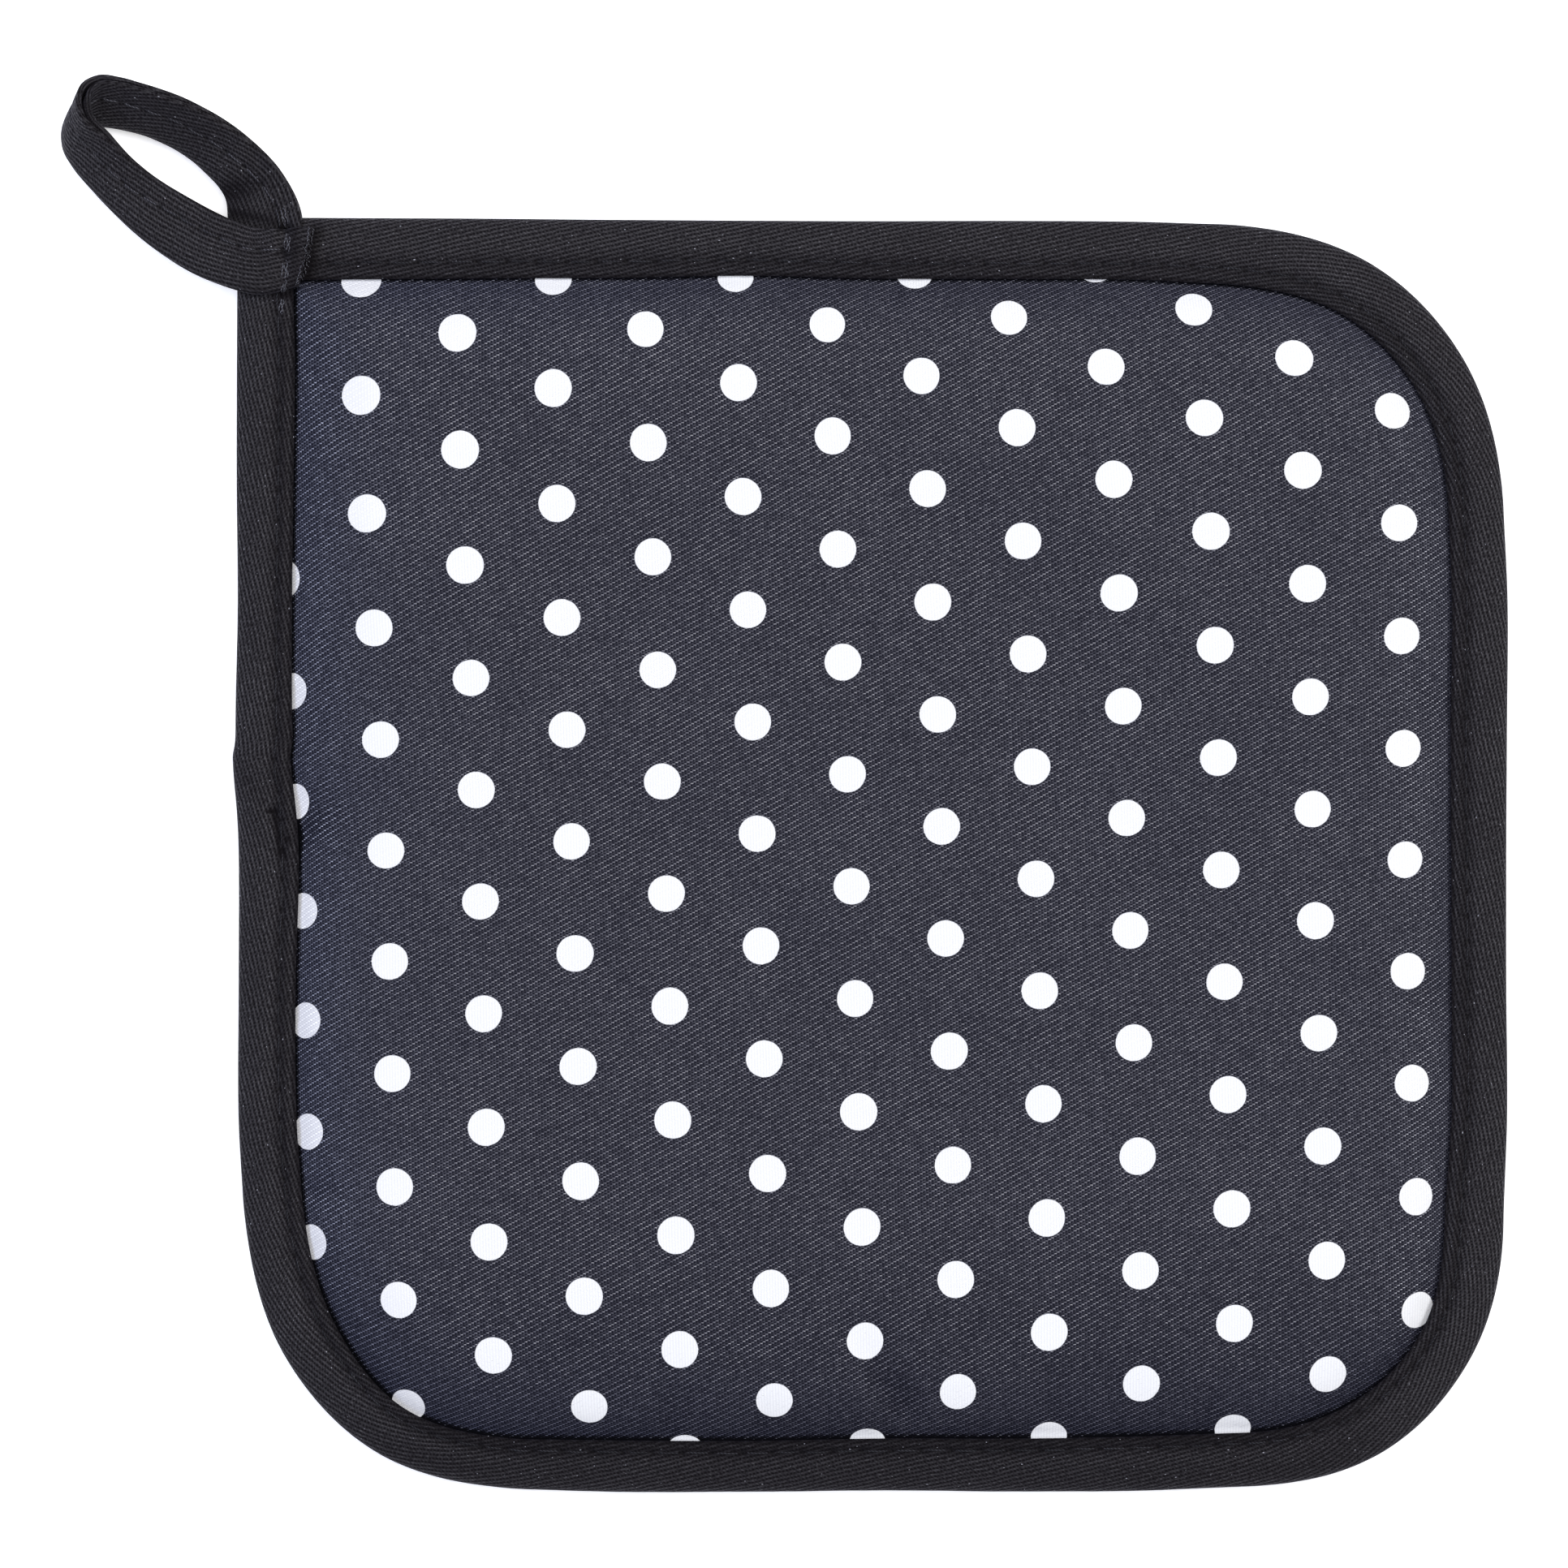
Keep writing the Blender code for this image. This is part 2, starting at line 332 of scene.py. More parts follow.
@dataclass(frozen=True)
class Cloth:
    """What the printed twill, the tape and the thread share: fibres with light and shade
    painted on them.

    Attributes:
        name: the material's name.
        gap: the colour between the threads: their dye, with painted shade.
        thread: the colour of a thread with painted full light on it.
        roughness: of the threads' crowns, and of the gaps between them.
        shine: specular level of the gaps, and of a thread in full light.
        sheen: how much light the loose fibres catch at the rims.
        sheen_tint: the colour of that light.
        relief: how far the weave stands out, in millimetres.
    """

    name: str
    gap: str
    thread: str
    roughness: tuple[float, float]
    shine: tuple[float, float]
    sheen: float
    sheen_tint: str
    relief: float

    def start(self) -> tuple[bpy.types.Material, NodeTree, bpy.types.Node]:
        """Make the material with its constant settings.

        Returns:
            The material, its nodes and its shader.
        """
        material = bpy.data.materials.new(self.name)
        material.use_nodes = True
        shader = material.node_tree.nodes["Principled BSDF"]
        constants = {
            "Metallic": 0.0,
            "IOR": 1.5,
            "Sheen Weight": self.sheen,
            "Sheen Roughness": 0.45,
            "Sheen Tint": linear(self.sheen_tint),
        }
        for name, value in constants.items():
            shader.inputs[name].default_value = value
        return material, material.node_tree, shader

    def patches(
        self,
        tree: NodeTree,
        place: NodeSocket,
        size: tuple[float, float],
        detail: float = 2.0,
        out: str = "Fac",
    ) -> NodeSocket:
        """Spread noise over the cloth in patches of a real size.

        Args:
            tree: the material's nodes.
            place: millimetres along and across the cloth.
            size: the length of a patch along and across, in millimetres.
            detail: how many finer octaves it holds.
            out: the noise texture's output that is wanted.

        Returns:
            The noise, around 0.5.
        """
        share = (1 / size[0], 1 / size[1], 0.0)
        scaled = add_node(tree, "VectorMath", place, share, operation="MULTIPLY")
        kept = {"Vector": scaled, "Scale": 1.0, "Detail": detail, "Roughness": 0.55}
        return add_node(tree, "TexNoise", inputs=kept, out=out)

    def strengths(
        self,
        tree: NodeTree,
        place: NodeSocket,
        size: tuple[float, float],
        spread: float,
        detail: float = 2.0,
    ) -> NodeSocket:
        """Make some patches of the cloth stronger than others.

        Args:
            tree: the material's nodes.
            place: millimetres along and across the cloth.
            size: the length of a patch along and across, in millimetres.
            spread: how far most patches' strength goes from 1, up and down.
            detail: how many finer octaves the noise holds.

        Returns:
            The strength at each place.
        """
        noise = self.patches(tree, place, size, detail)
        return add_node(
            tree, "MapRange", noise, *MOST_NOISE, 1 - spread, 1 + spread, clamp=False
        )

    def shifted(
        self, tree: NodeTree, place: NodeSocket, size: tuple[float, float], reach: float
    ) -> NodeSocket:
        """Move places about, so that the threads wander.

        Args:
            tree: the material's nodes.
            place: millimetres along and across the cloth.
            size: the length over which they wander, along and across.
            reach: twice the furthest that they go.

        Returns:
            The moved places.
        """
        add = partial(add_node, tree)
        noise = self.patches(tree, place, size, out="Color")
        centred = add("VectorMath", noise, (0.5, 0.5, 0.5), operation="SUBTRACT")
        return add(
            "VectorMath", centred, (reach, reach, 0.0), place, operation="MULTIPLY_ADD"
        )

    def dress(
        self,
        tree: NodeTree,
        shader: bpy.types.Node,
        colour: NodeSocket,
        light: NodeSocket,
        height: NodeSocket,
    ) -> None:
        """Give the shader its colour, its gloss and its relief.

        Args:
            tree: the material's nodes.
            shader: its shader.
            colour: of the cloth.
            light: how lit each thread is. Crowns shine, and the gaps beside them are dull.
            height: of the threads, as a share of the relief.
        """
        add = partial(add_node, tree)
        (dull, bright), (smooth, rough) = self.shine, self.roughness
        bump = {"Height": height, "Distance": self.relief * MM, "Strength": 1.0}
        onto = {"operation": "MULTIPLY_ADD"}
        made = {
            "Base Color": colour,
            "Specular IOR Level": add("Math", light, bright - dull, dull, **onto),
            "Roughness": add("Math", light, smooth - rough, rough, **onto),
            "Normal": add("Bump", inputs=bump),
        }
        for name, socket in made.items():
            tree.links.new(socket, shader.inputs[name])


# 3/1 cotton twill, 110 ends and 56 picks to the inch, turned so that its ends run across
# the pad. That gives 0.23 and 0.455 mm between threads, and ridges that rise to the right.
END_PITCH = 0.23
PICK_PITCH = 0.455
PRINTED_WEAVE = Weave(
    diagonal=(0.25 / PICK_PITCH, -0.25 / END_PITCH),
    crossing=(-0.75 / PICK_PITCH, -0.25 / END_PITCH),
    waves=(
        Wave(1, 0, 0.190),
        Wave(2, 0, 0.235, -8),
        Wave(0, 1, 0.130),
        Wave(1, 1, 0.195, -4),
        Wave(1, -1, 0.110, -130),
        Wave(2, -1, 0.060, 177),
        Wave(2, 1, 0.050, 32),
    ),
)

# Bias-cut cotton twill tape: ridges 0.69 mm apart that drift 14 degrees over its length,
# with gaps every 0.56 mm along them.
TAPE_WEAVE = Weave(
    diagonal=(0.357, 1.395),
    crossing=(1.730, -0.383),
    waves=(
        Wave(1, 0, -0.210),
        Wave(0, 1, -0.055),
        Wave(-1, 1, -0.088, 27),
        Wave(1, 1, -0.035),
    ),
)


@dataclass(frozen=True)
class PrintedTwill(Cloth):
    """Cotton twill, piece-dyed navy and pigment-printed. Light and shade are painted on the
    weave, the threads' crowns greyer than the gaps, and the ink makes crisp white spots
    with hardly any weave.

    Attributes:
        spot: the colour of the spots.
        spot_line: the colour of the painted shade in the faint lines between the threads in
            a spot.
        spot_dip: the colour of the painted shade in the dips between them at the left rim,
            where light grazes.
        spot_radius: half a spot's width.
        spot_blur: half the width of its printed edge.
        dip_shade: how strong the painted shade in the dips is where the weave's shading is
            0, and how much weaker where it is 1.
        dip_rim: how the painted rim light brings them out, as a factor and a start.
        uneven: the least strength of a crossing of threads, and how much more the most is.
        column: from one column of spots to the next.
        row: from one spot to the next in a column. Every second column is half a row down.
        rim_gap: the colour between the threads near the binding, where bluer rim light is
            painted.
        rim_thread: the colour of the threads there.
        shadow_start: how far out the cloth has no light at all beside the binding, where a
            contact shadow is painted.
        painted_shade: how much further the painted shadow takes to fade into full light.
        shadow: the colour of that painted shadow.
        contrast: between lit threads and dim ones.
        dim_contrast: the same where shade is painted: towards the near side and in the
            pinched creases.
        filled: how much of the weave's relief a spot's ink fills.
    """

    spot: str = "E4E4E5"
    spot_line: str = "D9D9DC"
    spot_dip: str = "B2B2BC"
    spot_radius: float = 2.88
    spot_blur: float = 0.07
    dip_shade: tuple[float, float] = (0.95, 1.3)
    dip_rim: tuple[float, float] = (1.5, -0.5)
    uneven: tuple[float, float] = (0.7, 0.6)
    column: float = 14.607
    row: float = 17.74
    rim_gap: str = "0B0C18"
    rim_thread: str = "43465B"
    shadow_start: float = 0.20
    painted_shade: float = 0.80
    shadow: str = "030306"
    contrast: float = 1.7
    dim_contrast: float = 2.8
    filled: float = 0.75

    def spots(self, tree: NodeTree, place: NodeSocket) -> NodeSocket:
        """Print the spots.

        Args:
            tree: the material's nodes.
            place: millimetres along and across the cloth.

        Returns:
            1 inside a spot and 0 outside.
        """
        add = partial(add_node, tree)
        cell = Vector((self.column, self.row / 2, 1.0))
        distances = []
        for step in ((0.0, 0.0, 0.0), (self.column, self.row / 2, 0.0)):
            moved = add("VectorMath", place, step, operation="ADD")
            wrapped = add("VectorMath", moved, cell, -cell, operation="WRAP")
            flat = add("VectorMath", wrapped, (1.0, 1.0, 0.0), operation="MULTIPLY")
            distances.append(add("VectorMath", flat, out="Value", operation="LENGTH"))
        nearest = add("Math", *distances, operation="MINIMUM")
        edge = (self.spot_radius - self.spot_blur, self.spot_radius + self.spot_blur)
        return add("MapRange", nearest, *edge, 1.0, 0.0, interpolation_type="SMOOTHSTEP")

    def crossings(self, tree: NodeTree, threads: NodeSocket) -> NodeSocket:
        """Give each crossing of the threads its own strength.

        Args:
            tree: the material's nodes.
            threads: millimetres along and across the cloth, moved as the threads wander.

        Returns:
            The strength at each place.
        """
        add = partial(add_node, tree)
        half = (PICK_PITCH / 2, END_PITCH / 2, 0.0)
        centred = add("VectorMath", threads, half, operation="ADD")
        snapped = add("VectorMath", centred, (PICK_PITCH, END_PITCH, 1.0), operation="SNAP")
        chance = add("TexWhiteNoise", inputs={"Vector": snapped}, out="Value")
        least, more = self.uneven
        return add("Math", chance, more, least, operation="MULTIPLY_ADD")

    def printed(
        self, tree: NodeTree, wandering: NodeSocket, shade: NodeSocket, nearness: NodeSocket
    ) -> NodeSocket:
        """Colour the spots' ink.

        Args:
            tree: the material's nodes.
            wandering: millimetres along and across the cloth, moved as the threads wander.
            shade: the weave's shading.
            nearness: how much painted rim light each place has, most near the left rim.

        Returns:
            The colour at each place.
        """
        add = partial(add_node, tree)
        # Painted shade in faint lines between the picks, and at the left rim in the dips
        # where the weave is low.
        pick = (math.tau / PICK_PITCH, 0.0, 0.0)
        turn = add("VectorMath", wandering, pick, out="Value", operation="DOT_PRODUCT")
        line = add("Math", turn, operation="COSINE")
        line = add("Math", line, 0.5, 0.5, operation="MULTIPLY_ADD")
        ends = {6: linear(self.spot_line), 7: linear(self.spot)}
        spot = add("Mix", line, inputs=ends, **COLOUR_MIX)
        most, weaker = self.dip_shade
        dip = add("Math", shade, -weaker, most, operation="MULTIPLY_ADD")
        dip = add("Math", dip, 0.0, operation="MAXIMUM")
        grazed = add("Math", nearness, *self.dip_rim, operation="MULTIPLY_ADD")
        grazed = add("Math", grazed, 0.0, operation="MAXIMUM")
        dip = add("Math", dip, grazed, operation="MULTIPLY")
        return add("Mix", dip, inputs={6: spot, 7: linear(self.spot_dip)}, **COLOUR_MIX)

    def make(self) -> bpy.types.Material:
        """Make the material.

        Returns:
            It, reading the marks "cloth" and "rim" of its piece.
        """
        material, tree, shader = self.start()
        add = partial(add_node, tree)
        place = add("Attribute", out="Vector", attribute_name="cloth")
        rim = add("Attribute", out="Vector", attribute_name="rim")
        # The rim mark: painted bluer rim light, the distance that sets the painted contact
        # shadow, and painted shade.
        nearness, inner, dim = add("SeparateXYZ", rim).node.outputs[:3]

        wandering = self.shifted(tree, place, (9.0, 9.0), 0.34)
        threads = self.shifted(tree, wandering, (0.9, 0.5), 0.10)
        shade = PRINTED_WEAVE.shade(tree, threads, 0.45)
        # Cloudy dye, uneven ends, uneven picks, and crossings beaten up unequally.
        lit = shade
        for strength in (
            self.strengths(tree, place, (26.0, 26.0), 0.04),
            self.strengths(tree, place, (7.0, END_PITCH), 0.10),
            self.strengths(tree, place, (PICK_PITCH, 9.0), 0.06),
            self.crossings(tree, threads),
        ):
            lit = add("Math", lit, strength, operation="MULTIPLY")
        lit = add("Math", lit, 0.0, operation="MAXIMUM")
        # A contact shadow is painted beside the binding; the raised threads come out of it
        # into the light first.
        unshadowed = add(
            "MapRange",
            add("Math", lit, 0.5, inner, operation="MULTIPLY_ADD"),
            self.shadow_start,
            self.shadow_start + self.painted_shade,
            interpolation_type="SMOOTHSTEP",
        )
        lit = add("Math", lit, unshadowed, operation="MULTIPLY")
        # Where shade is painted, the weave is shown darker, with more contrast.
        light = add("Math", lit, self.contrast, operation="POWER")
        deep = add("Math", lit, self.dim_contrast, operation="POWER")
        light = add("Mix", dim, inputs={2: light, 3: deep}, data_type="FLOAT")

        # The bluer rim light is painted into the colours of the gaps and the threads.
        gap, thread = (
            add("Mix", nearness, inputs={6: linear(far), 7: linear(near)}, **COLOUR_MIX)
            for far, near in ((self.gap, self.rim_gap), (self.thread, self.rim_thread))
        )
        dyed = add("Mix", light, inputs={6: gap, 7: thread}, **COLOUR_MIX)
        # The painted contact shadow's colour beside the binding.
        dyed = add("Mix", unshadowed, inputs={6: linear(self.shadow), 7: dyed}, **COLOUR_MIX)
        ink = self.printed(tree, wandering, shade, nearness)
        inside = self.spots(tree, self.shifted(tree, wandering, (0.45, 0.3), 0.12))
        colour = add("Mix", inside, inputs={6: dyed, 7: ink}, **COLOUR_MIX)
        open_weave = add("Math", inside, -self.filled, 1.0, operation="MULTIPLY_ADD")
        height = add("Math", lit, open_weave, operation="MULTIPLY")
        self.dress(tree, shader, colour, light, height)
        return material


@dataclass(frozen=True)
class TwillTape(Cloth):
    """Black cotton bias tape, woven, cut on the slant and pressed: matt threads with
    painted shade in the dark lens-shaped gaps between them, a few pale specks of lint,
    needle holes that pull dimples along the seam with painted shade in them, and painted
    shade where the tape is grooved, tucked in or turned from the light.

    Attributes:
        lint: the colour of the specks.
        hole_reach: how far the painted shade of a needle hole's dimple reaches round it.
        dimming: how much light the full painted shade takes from the threads.
        least: how much light they have at least.
        specks: values of the dust's noise where a speck starts and where it is full.
        hole_dark: how dark the painted shade of a needle hole is.
        hole_depth: how deep it is, in times the weave's relief.
        contrast: between lit threads and dim ones.
    """

    lint: str = "8E8E96"
    hole_reach: float = 0.55
    dimming: float = 0.7333
    least: float = 0.12
    specks: tuple[float, float] = (0.835, 0.875)
    hole_dark: float = 0.85
    hole_depth: float = 1.6
    contrast: float = 1.6

    def make(self) -> bpy.types.Material:
        """Make the material.

        Returns:
            It, reading the marks "cloth", "seam" and "painted_shade" of its piece.
        """
        material, tree, shader = self.start()
        add = partial(add_node, tree)
        place = add("Attribute", out="Vector", attribute_name="cloth")
        seam = add("Attribute", out="Vector", attribute_name="seam")
        # The painted shade of the tape, from its mark.
        painted_shade = add("Attribute", out="Fac", attribute_name="painted_shade")

        wandering = self.shifted(tree, place, (11.0, 6.0), 0.45)
        threads = self.shifted(tree, wandering, (0.7, 0.5), 0.16)
        light_left = add("Math", painted_shade, -self.dimming, 1.0, operation="MULTIPLY_ADD")
        # Fuzzy fibres, knotty threads, patchy dye, and the painted shade where the tape is
        # grooved, tucked in or turned from the light.
        lit = TAPE_WEAVE.shade(tree, threads, 0.50)
        for strength in (
            self.strengths(tree, place, (0.30, 0.22), 0.34, 3.0),
            self.strengths(tree, threads, (0.6, 0.4), 0.20, 0.0),
            self.strengths(tree, place, (14.0, 5.0), 0.06),
            add("Math", light_left, self.least, operation="MAXIMUM"),
        ):
            lit = add("Math", lit, strength, operation="MULTIPLY")
        lit = add("Math", lit, 0.0, operation="MAXIMUM")
        light = add("Math", lit, self.contrast, operation="POWER")

        holes = self.holes(tree, seam)
        dust = self.patches(tree, place, (0.55, 0.28), 0.0)
        specks = add("MapRange", dust, *self.specks)
        colour = linear(self.gap)
        for share, over in ((light, self.thread), (holes, self.gap), (specks, self.lint)):
            colour = add("Mix", share, inputs={6: colour, 7: linear(over)}, **COLOUR_MIX)
        height = add("Math", holes, -self.hole_depth, lit, operation="MULTIPLY_ADD")
        self.dress(tree, shader, colour, light, height)
        return material

    def holes(self, tree: NodeTree, seam: NodeSocket) -> NodeSocket:
        """Find the needle holes of the seam, for the bump and the painted shade of their
        dimples.

        Args:
            tree: the material's nodes.
            seam: stitches along it, millimetres from it and the length of a stitch.

        Returns:
            How near each place is to a hole, from 0 to 1.
        """
        add = partial(add_node, tree)
        stitches, aside, pitch = add("SeparateXYZ", seam).node.outputs[:3]
        along = add("Math", stitches, 0.5, operation="PINGPONG")
        along = add("Math", along, pitch, operation="MULTIPLY")
        square = add("Math", along, along, operation="MULTIPLY")
        square = add("Math", aside, aside, square, operation="MULTIPLY_ADD")
        distance = add("Math", square, operation="SQRT")
        edge = (0.05, self.hole_reach, self.hole_dark, 0.0)
        return add("MapRange", distance, *edge, interpolation_type="SMOOTHSTEP")


@dataclass(frozen=True)
class SewingThread(Cloth):
    """Black spun polyester sewing thread, a little glossier than the tape. Each stitch
    shows as a row of small grey flecks, painted highlights, one for each turn of its plies.

    Attributes:
        twist: length of a turn. The real one is finer, but would blur to an even grey.
        contrast: of the painted highlights on the plies against the slants between them.
    """

    twist: float = 0.58
    contrast: float = 0.42

    def make(self) -> bpy.types.Material:
        """Make the material.

        Returns:
            It, reading the mark "ply" of its piece.
        """
        material, tree, shader = self.start()
        add = partial(add_node, tree)
        ply = add("Attribute", out="Vector", attribute_name="ply")
        turns = (math.tau / self.twist, 2.0, 0.0)
        slant = add("VectorMath", ply, turns, out="Value", operation="DOT_PRODUCT")
        crest = add("Math", slant, operation="SINE")
        fuzz = self.patches(tree, ply, (0.25, 0.25))
        caught = add("SeparateXYZ", ply, out="Z")
        # Painted highlights on the plies, dimmed by the stitch's painted light.
        lit = add("Math", crest, self.contrast, fuzz, operation="MULTIPLY_ADD")
        lit = add("Math", lit, caught, operation="MULTIPLY")
        ends = {6: linear(self.gap), 7: linear(self.thread)}
        self.dress(tree, shader, add("Mix", lit, inputs=ends, **COLOUR_MIX), lit, lit)
        return material


SPOTTED_COTTON = PrintedTwill(
    name="printed_cotton_twill",
    gap="0D0D17",
    thread="40404F",
    roughness=(0.44, 0.75),
    shine=(0.05, 1.0),
    sheen=0.04,
    sheen_tint="B9BEE6",
    relief=0.04,
)
BLACK_TAPE = TwillTape(
    name="bias_cut_cotton_tape",
    gap="070507",
    thread="2C292F",
    roughness=(0.52, 0.85),
    shine=(0.05, 0.62),
    sheen=0.05,
    sheen_tint="C4BEE6",
    relief=0.10,
)
BLACK_THREAD = SewingThread(
    name="spun_polyester_thread",
    gap="050506",
    thread="54535C",
    roughness=(0.5, 0.7),
    shine=(0.08, 0.6),
    sheen=0.05,
    sheen_tint="D6D6E6",
    relief=0.03,
)
# The seam over the crossing is sewn with the same thread, left loose and dusty with fibre.
DUSTY_THREAD = SewingThread(
    name="spun_polyester_thread_dusty",
    gap="0C0C0F",
    thread="5F5F69",
    roughness=(0.5, 0.7),
    shine=(0.2, 0.7),
    sheen=0.2,
    sheen_tint="D6D6E6",
    relief=0.03,
)


# ------------------------------------------------------------------ the bound edge's plan


@dataclass(frozen=True)
class EdgePlan:
    """Where the pad's bound edge runs, clockwise from the square corner, seen from above.

    Attributes:
        half_side: from the middle to a side.
        radii: of the corners, from the square one.
        spacing: between the entries of the two tables below.
        stray: how far the sewn edge lies outside the true outline.
        widths: of the binding.
        join: where two lengths of tape are joined, which stands out a little.
        join_step: how far it stands out.
        join_reach: over what distance before it, and after it.
    """

    half_side: float = 99.7
    radii: tuple[float, ...] = (0.0, 45.7, 41.8, 46.6)
    spacing: float = 19.99
    stray: tuple[float, ...] = (
        (0.42, 0.36, 0.26, 0.08, -0.04, -0.12, -0.07, -0.19, -0.63, 0.19)
        + (-0.03, -0.61, 0.15, 0.05, -0.06, -0.06, 0.08, -0.51, 0.14, 0.62)
        + (-0.27, 0.41, 0.49, 0.34, 0.53, 0.57, 0.19, 1.27, 0.39, -0.90)
        + (-0.04, -0.07, -0.09, 0.42, 0.07, 0.24, 0.19, 0.10)
    )
    widths: tuple[float, ...] = (
        (9.90, 9.70, 9.44, 9.20, 8.73, 9.10, 9.21, 9.20, 9.49, 9.27)
        + (8.98, 8.78, 8.89, 8.96, 8.76, 8.71, 8.84, 9.40, 9.05, 9.55)
        + (9.02, 9.05, 8.81, 8.68, 8.48, 8.59, 8.35, 8.59, 9.56, 9.42)
        + (9.17, 9.03, 9.50, 9.03, 8.60, 9.01, 9.20, 8.90)
    )
    join: float = 655.5
    join_step: float = 0.5
    join_reach: tuple[float, float] = (7.0, 2.0)

    def length(self) -> float:
        """Return the true outline's length."""
        return 8 * self.half_side - (2 - math.pi / 2) * sum(self.radii)

    def true_line(self, along: np.ndarray) -> tuple[np.ndarray, np.ndarray]:
        """Follow the true outline.

        Args:
            along: distances along it from the square corner.

        Returns:
            Its points and its outward directions, one row each.
        """
        points = np.zeros((len(along), 2))
        outward = np.zeros((len(along), 2))
        passed = 0.0
        for side, corner in enumerate(((-1, 1), (1, 1), (1, -1), (-1, -1))):
            angle = -side * math.pi / 2
            heading = np.array((math.cos(angle), math.sin(angle)))
            out = np.array((-math.sin(angle), math.cos(angle)))
            start = np.array(corner) * self.half_side + heading * self.radii[side]
            radius = self.radii[(side + 1) % 4]
            straight = 2 * self.half_side - self.radii[side] - radius
            on_side = (along >= passed) & (along <= passed + straight)
            points[on_side] = start + heading * (along[on_side, None] - passed)
            outward[on_side] = out
            passed += straight
            turned = radius * math.pi / 2
            on_turn = (along > passed) & (along < passed + turned)
            if radius:
                bend = (along[on_turn, None] - passed) / radius
                centre = start + heading * straight - out * radius
                outward[on_turn] = out * np.cos(bend) + heading * np.sin(bend)
                points[on_turn] = centre + outward[on_turn] * radius
            passed += turned
        return points, outward

    def line(self, along: np.ndarray) -> tuple[np.ndarray, np.ndarray, np.ndarray]:
        """Follow the sewn edge.

        Args:
            along: distances along the true outline from the square corner.

        Returns:
            The edge's points, its outward directions and the binding's widths.
        """
        points, outward = self.true_line(along)
        place = along / self.spacing
        past = along - self.join
        step = self.join_step * bell(past, np.where(past < 0, *self.join_reach))
        stray = (read_table(self.stray, place) + step)[:, None]
        return points + outward * stray, outward, read_table(self.widths, place)


# ------------------------------------------------------------------ the padded panel


class Fold(Enum):
    """Whether a crease of the pad sinks or stands."""

    TROUGH = -1.0
    RIDGE = 1.0


@dataclass(frozen=True)
class Crease:
    """A soft crease of the pad between two points.

    Attributes:
        fold: whether it sinks or stands.
        start: its deeper end.
        end: its other end, where it has died away.
        depth: at the start.
        reach: half its width.
    """

    fold: Fold
    start: tuple[float, float]
    end: tuple[float, float]
    depth: float
    reach: float

    def height(self, x: np.ndarray, y: np.ndarray) -> np.ndarray:
        """Measure the crease.

        Args:
            x: places along the pad's near side.
            y: places up its left side.

        Returns:
            How much it raises the cloth at each place.
        """
        run = np.subtract(self.end, self.start)
        length = np.hypot(*run)
        towards = run / length
        from_x, from_y = x - self.start[0], y - self.start[1]
        along = (from_x * towards[0] + from_y * towards[1]) / length
        aside = from_x * towards[1] - from_y * towards[0]
        fade = np.where(along < 0, bell(along * length, self.reach), 1 - smooth_step(along))
        return self.fold.value * self.depth * fade * bell(aside, self.reach)


def lay_creases(fold: Fold, *rows: tuple[float, ...]) -> tuple[Crease, ...]:
    """Lay creases that all sink or all stand.

    Args:
        fold: which of the two.
        rows: for each crease x and y of its start, x and y of its end, depth and reach.

    Returns:
        The creases.
    """
    return tuple(Crease(fold, row[:2], row[2:4], *row[4:]) for row in rows)


def press(creases: tuple[Crease, ...], x: np.ndarray, y: np.ndarray) -> np.ndarray:
    """Return how much the creases raise the cloth together at each place."""
    return sum(crease.height(x, y) for crease in creases)


CREASES = lay_creases(
    Fold.TROUGH,
    (-89.5, 4.5, -64.0, 17.0, 0.55, 3.6),
    (-90.0, 21.0, -82.0, 23.0, 0.30, 2.2),
    (-90.0, -16.0, -84.0, -16.0, 0.28, 2.4),
    (-88.0, -53.0, -77.0, -53.5, 0.45, 3.0),
    (4.5, -86.5, -5.0, -72.0, 0.75, 2.9),
    (-4.0, -74.0, -9.0, -60.0, 0.18, 4.0),
    (-31.0, -89.0, -32.0, -78.0, 0.35, 3.6),
    (-17.0, -90.0, -17.0, -83.0, 0.25, 2.8),
    (29.0, -89.0, 29.0, -79.0, 0.35, 3.4),
    (53.0, -89.0, 54.0, -80.0, 0.25, 3.2),
    (91.0, 23.0, 79.0, 31.0, 0.50, 3.0),
    (91.0, -22.0, 76.0, -25.5, 0.38, 3.0),
    (3.0, 90.0, 1.0, 74.0, 0.26, 3.4),
    (-44.0, 90.0, -42.0, 74.0, 0.24, 3.6),
    (-44.0, 13.0, -20.0, -8.0, 0.20, 7.0),
    (-8.0, -20.0, -22.0, -30.0, 0.14, 7.0),
) + lay_creases(
    Fold.RIDGE,
    (-89.0, 13.0, -78.0, 24.0, 0.30, 2.6),
    (-2.0, -90.0, -3.0, -82.0, 0.30, 2.8),
    (9.0, 90.0, 12.0, 76.0, 0.20, 3.0),
)

# Painted shade in the creases where the sewing pinches the cloth: there the weave is shown
# darker, with more contrast.
CREASE_SHADES = lay_creases(
    Fold.RIDGE,
    (5.0, -86.0, -3.0, -74.0, 0.75, 2.3),
    (-31.0, -90.0, -32.0, -80.0, 0.30, 2.2),
    (-17.0, -90.0, -17.0, -84.0, 0.30, 2.0),
    (29.0, -90.0, 29.0, -82.0, 0.30, 2.2),
    (53.0, -90.0, 54.0, -83.0, 0.25, 2.0),
    (-89.6, 3.6, -80.0, 8.0, 0.95, 3.0),
    (-90.0, -16.0, -86.0, -16.0, 0.25, 1.8),
    (-89.0, -53.0, -82.0, -53.5, 0.35, 2.0),
    (91.0, 23.0, 81.0, 30.0, 0.35, 2.0),
    (91.0, -22.0, 80.0, -25.0, 0.25, 2.0),
)


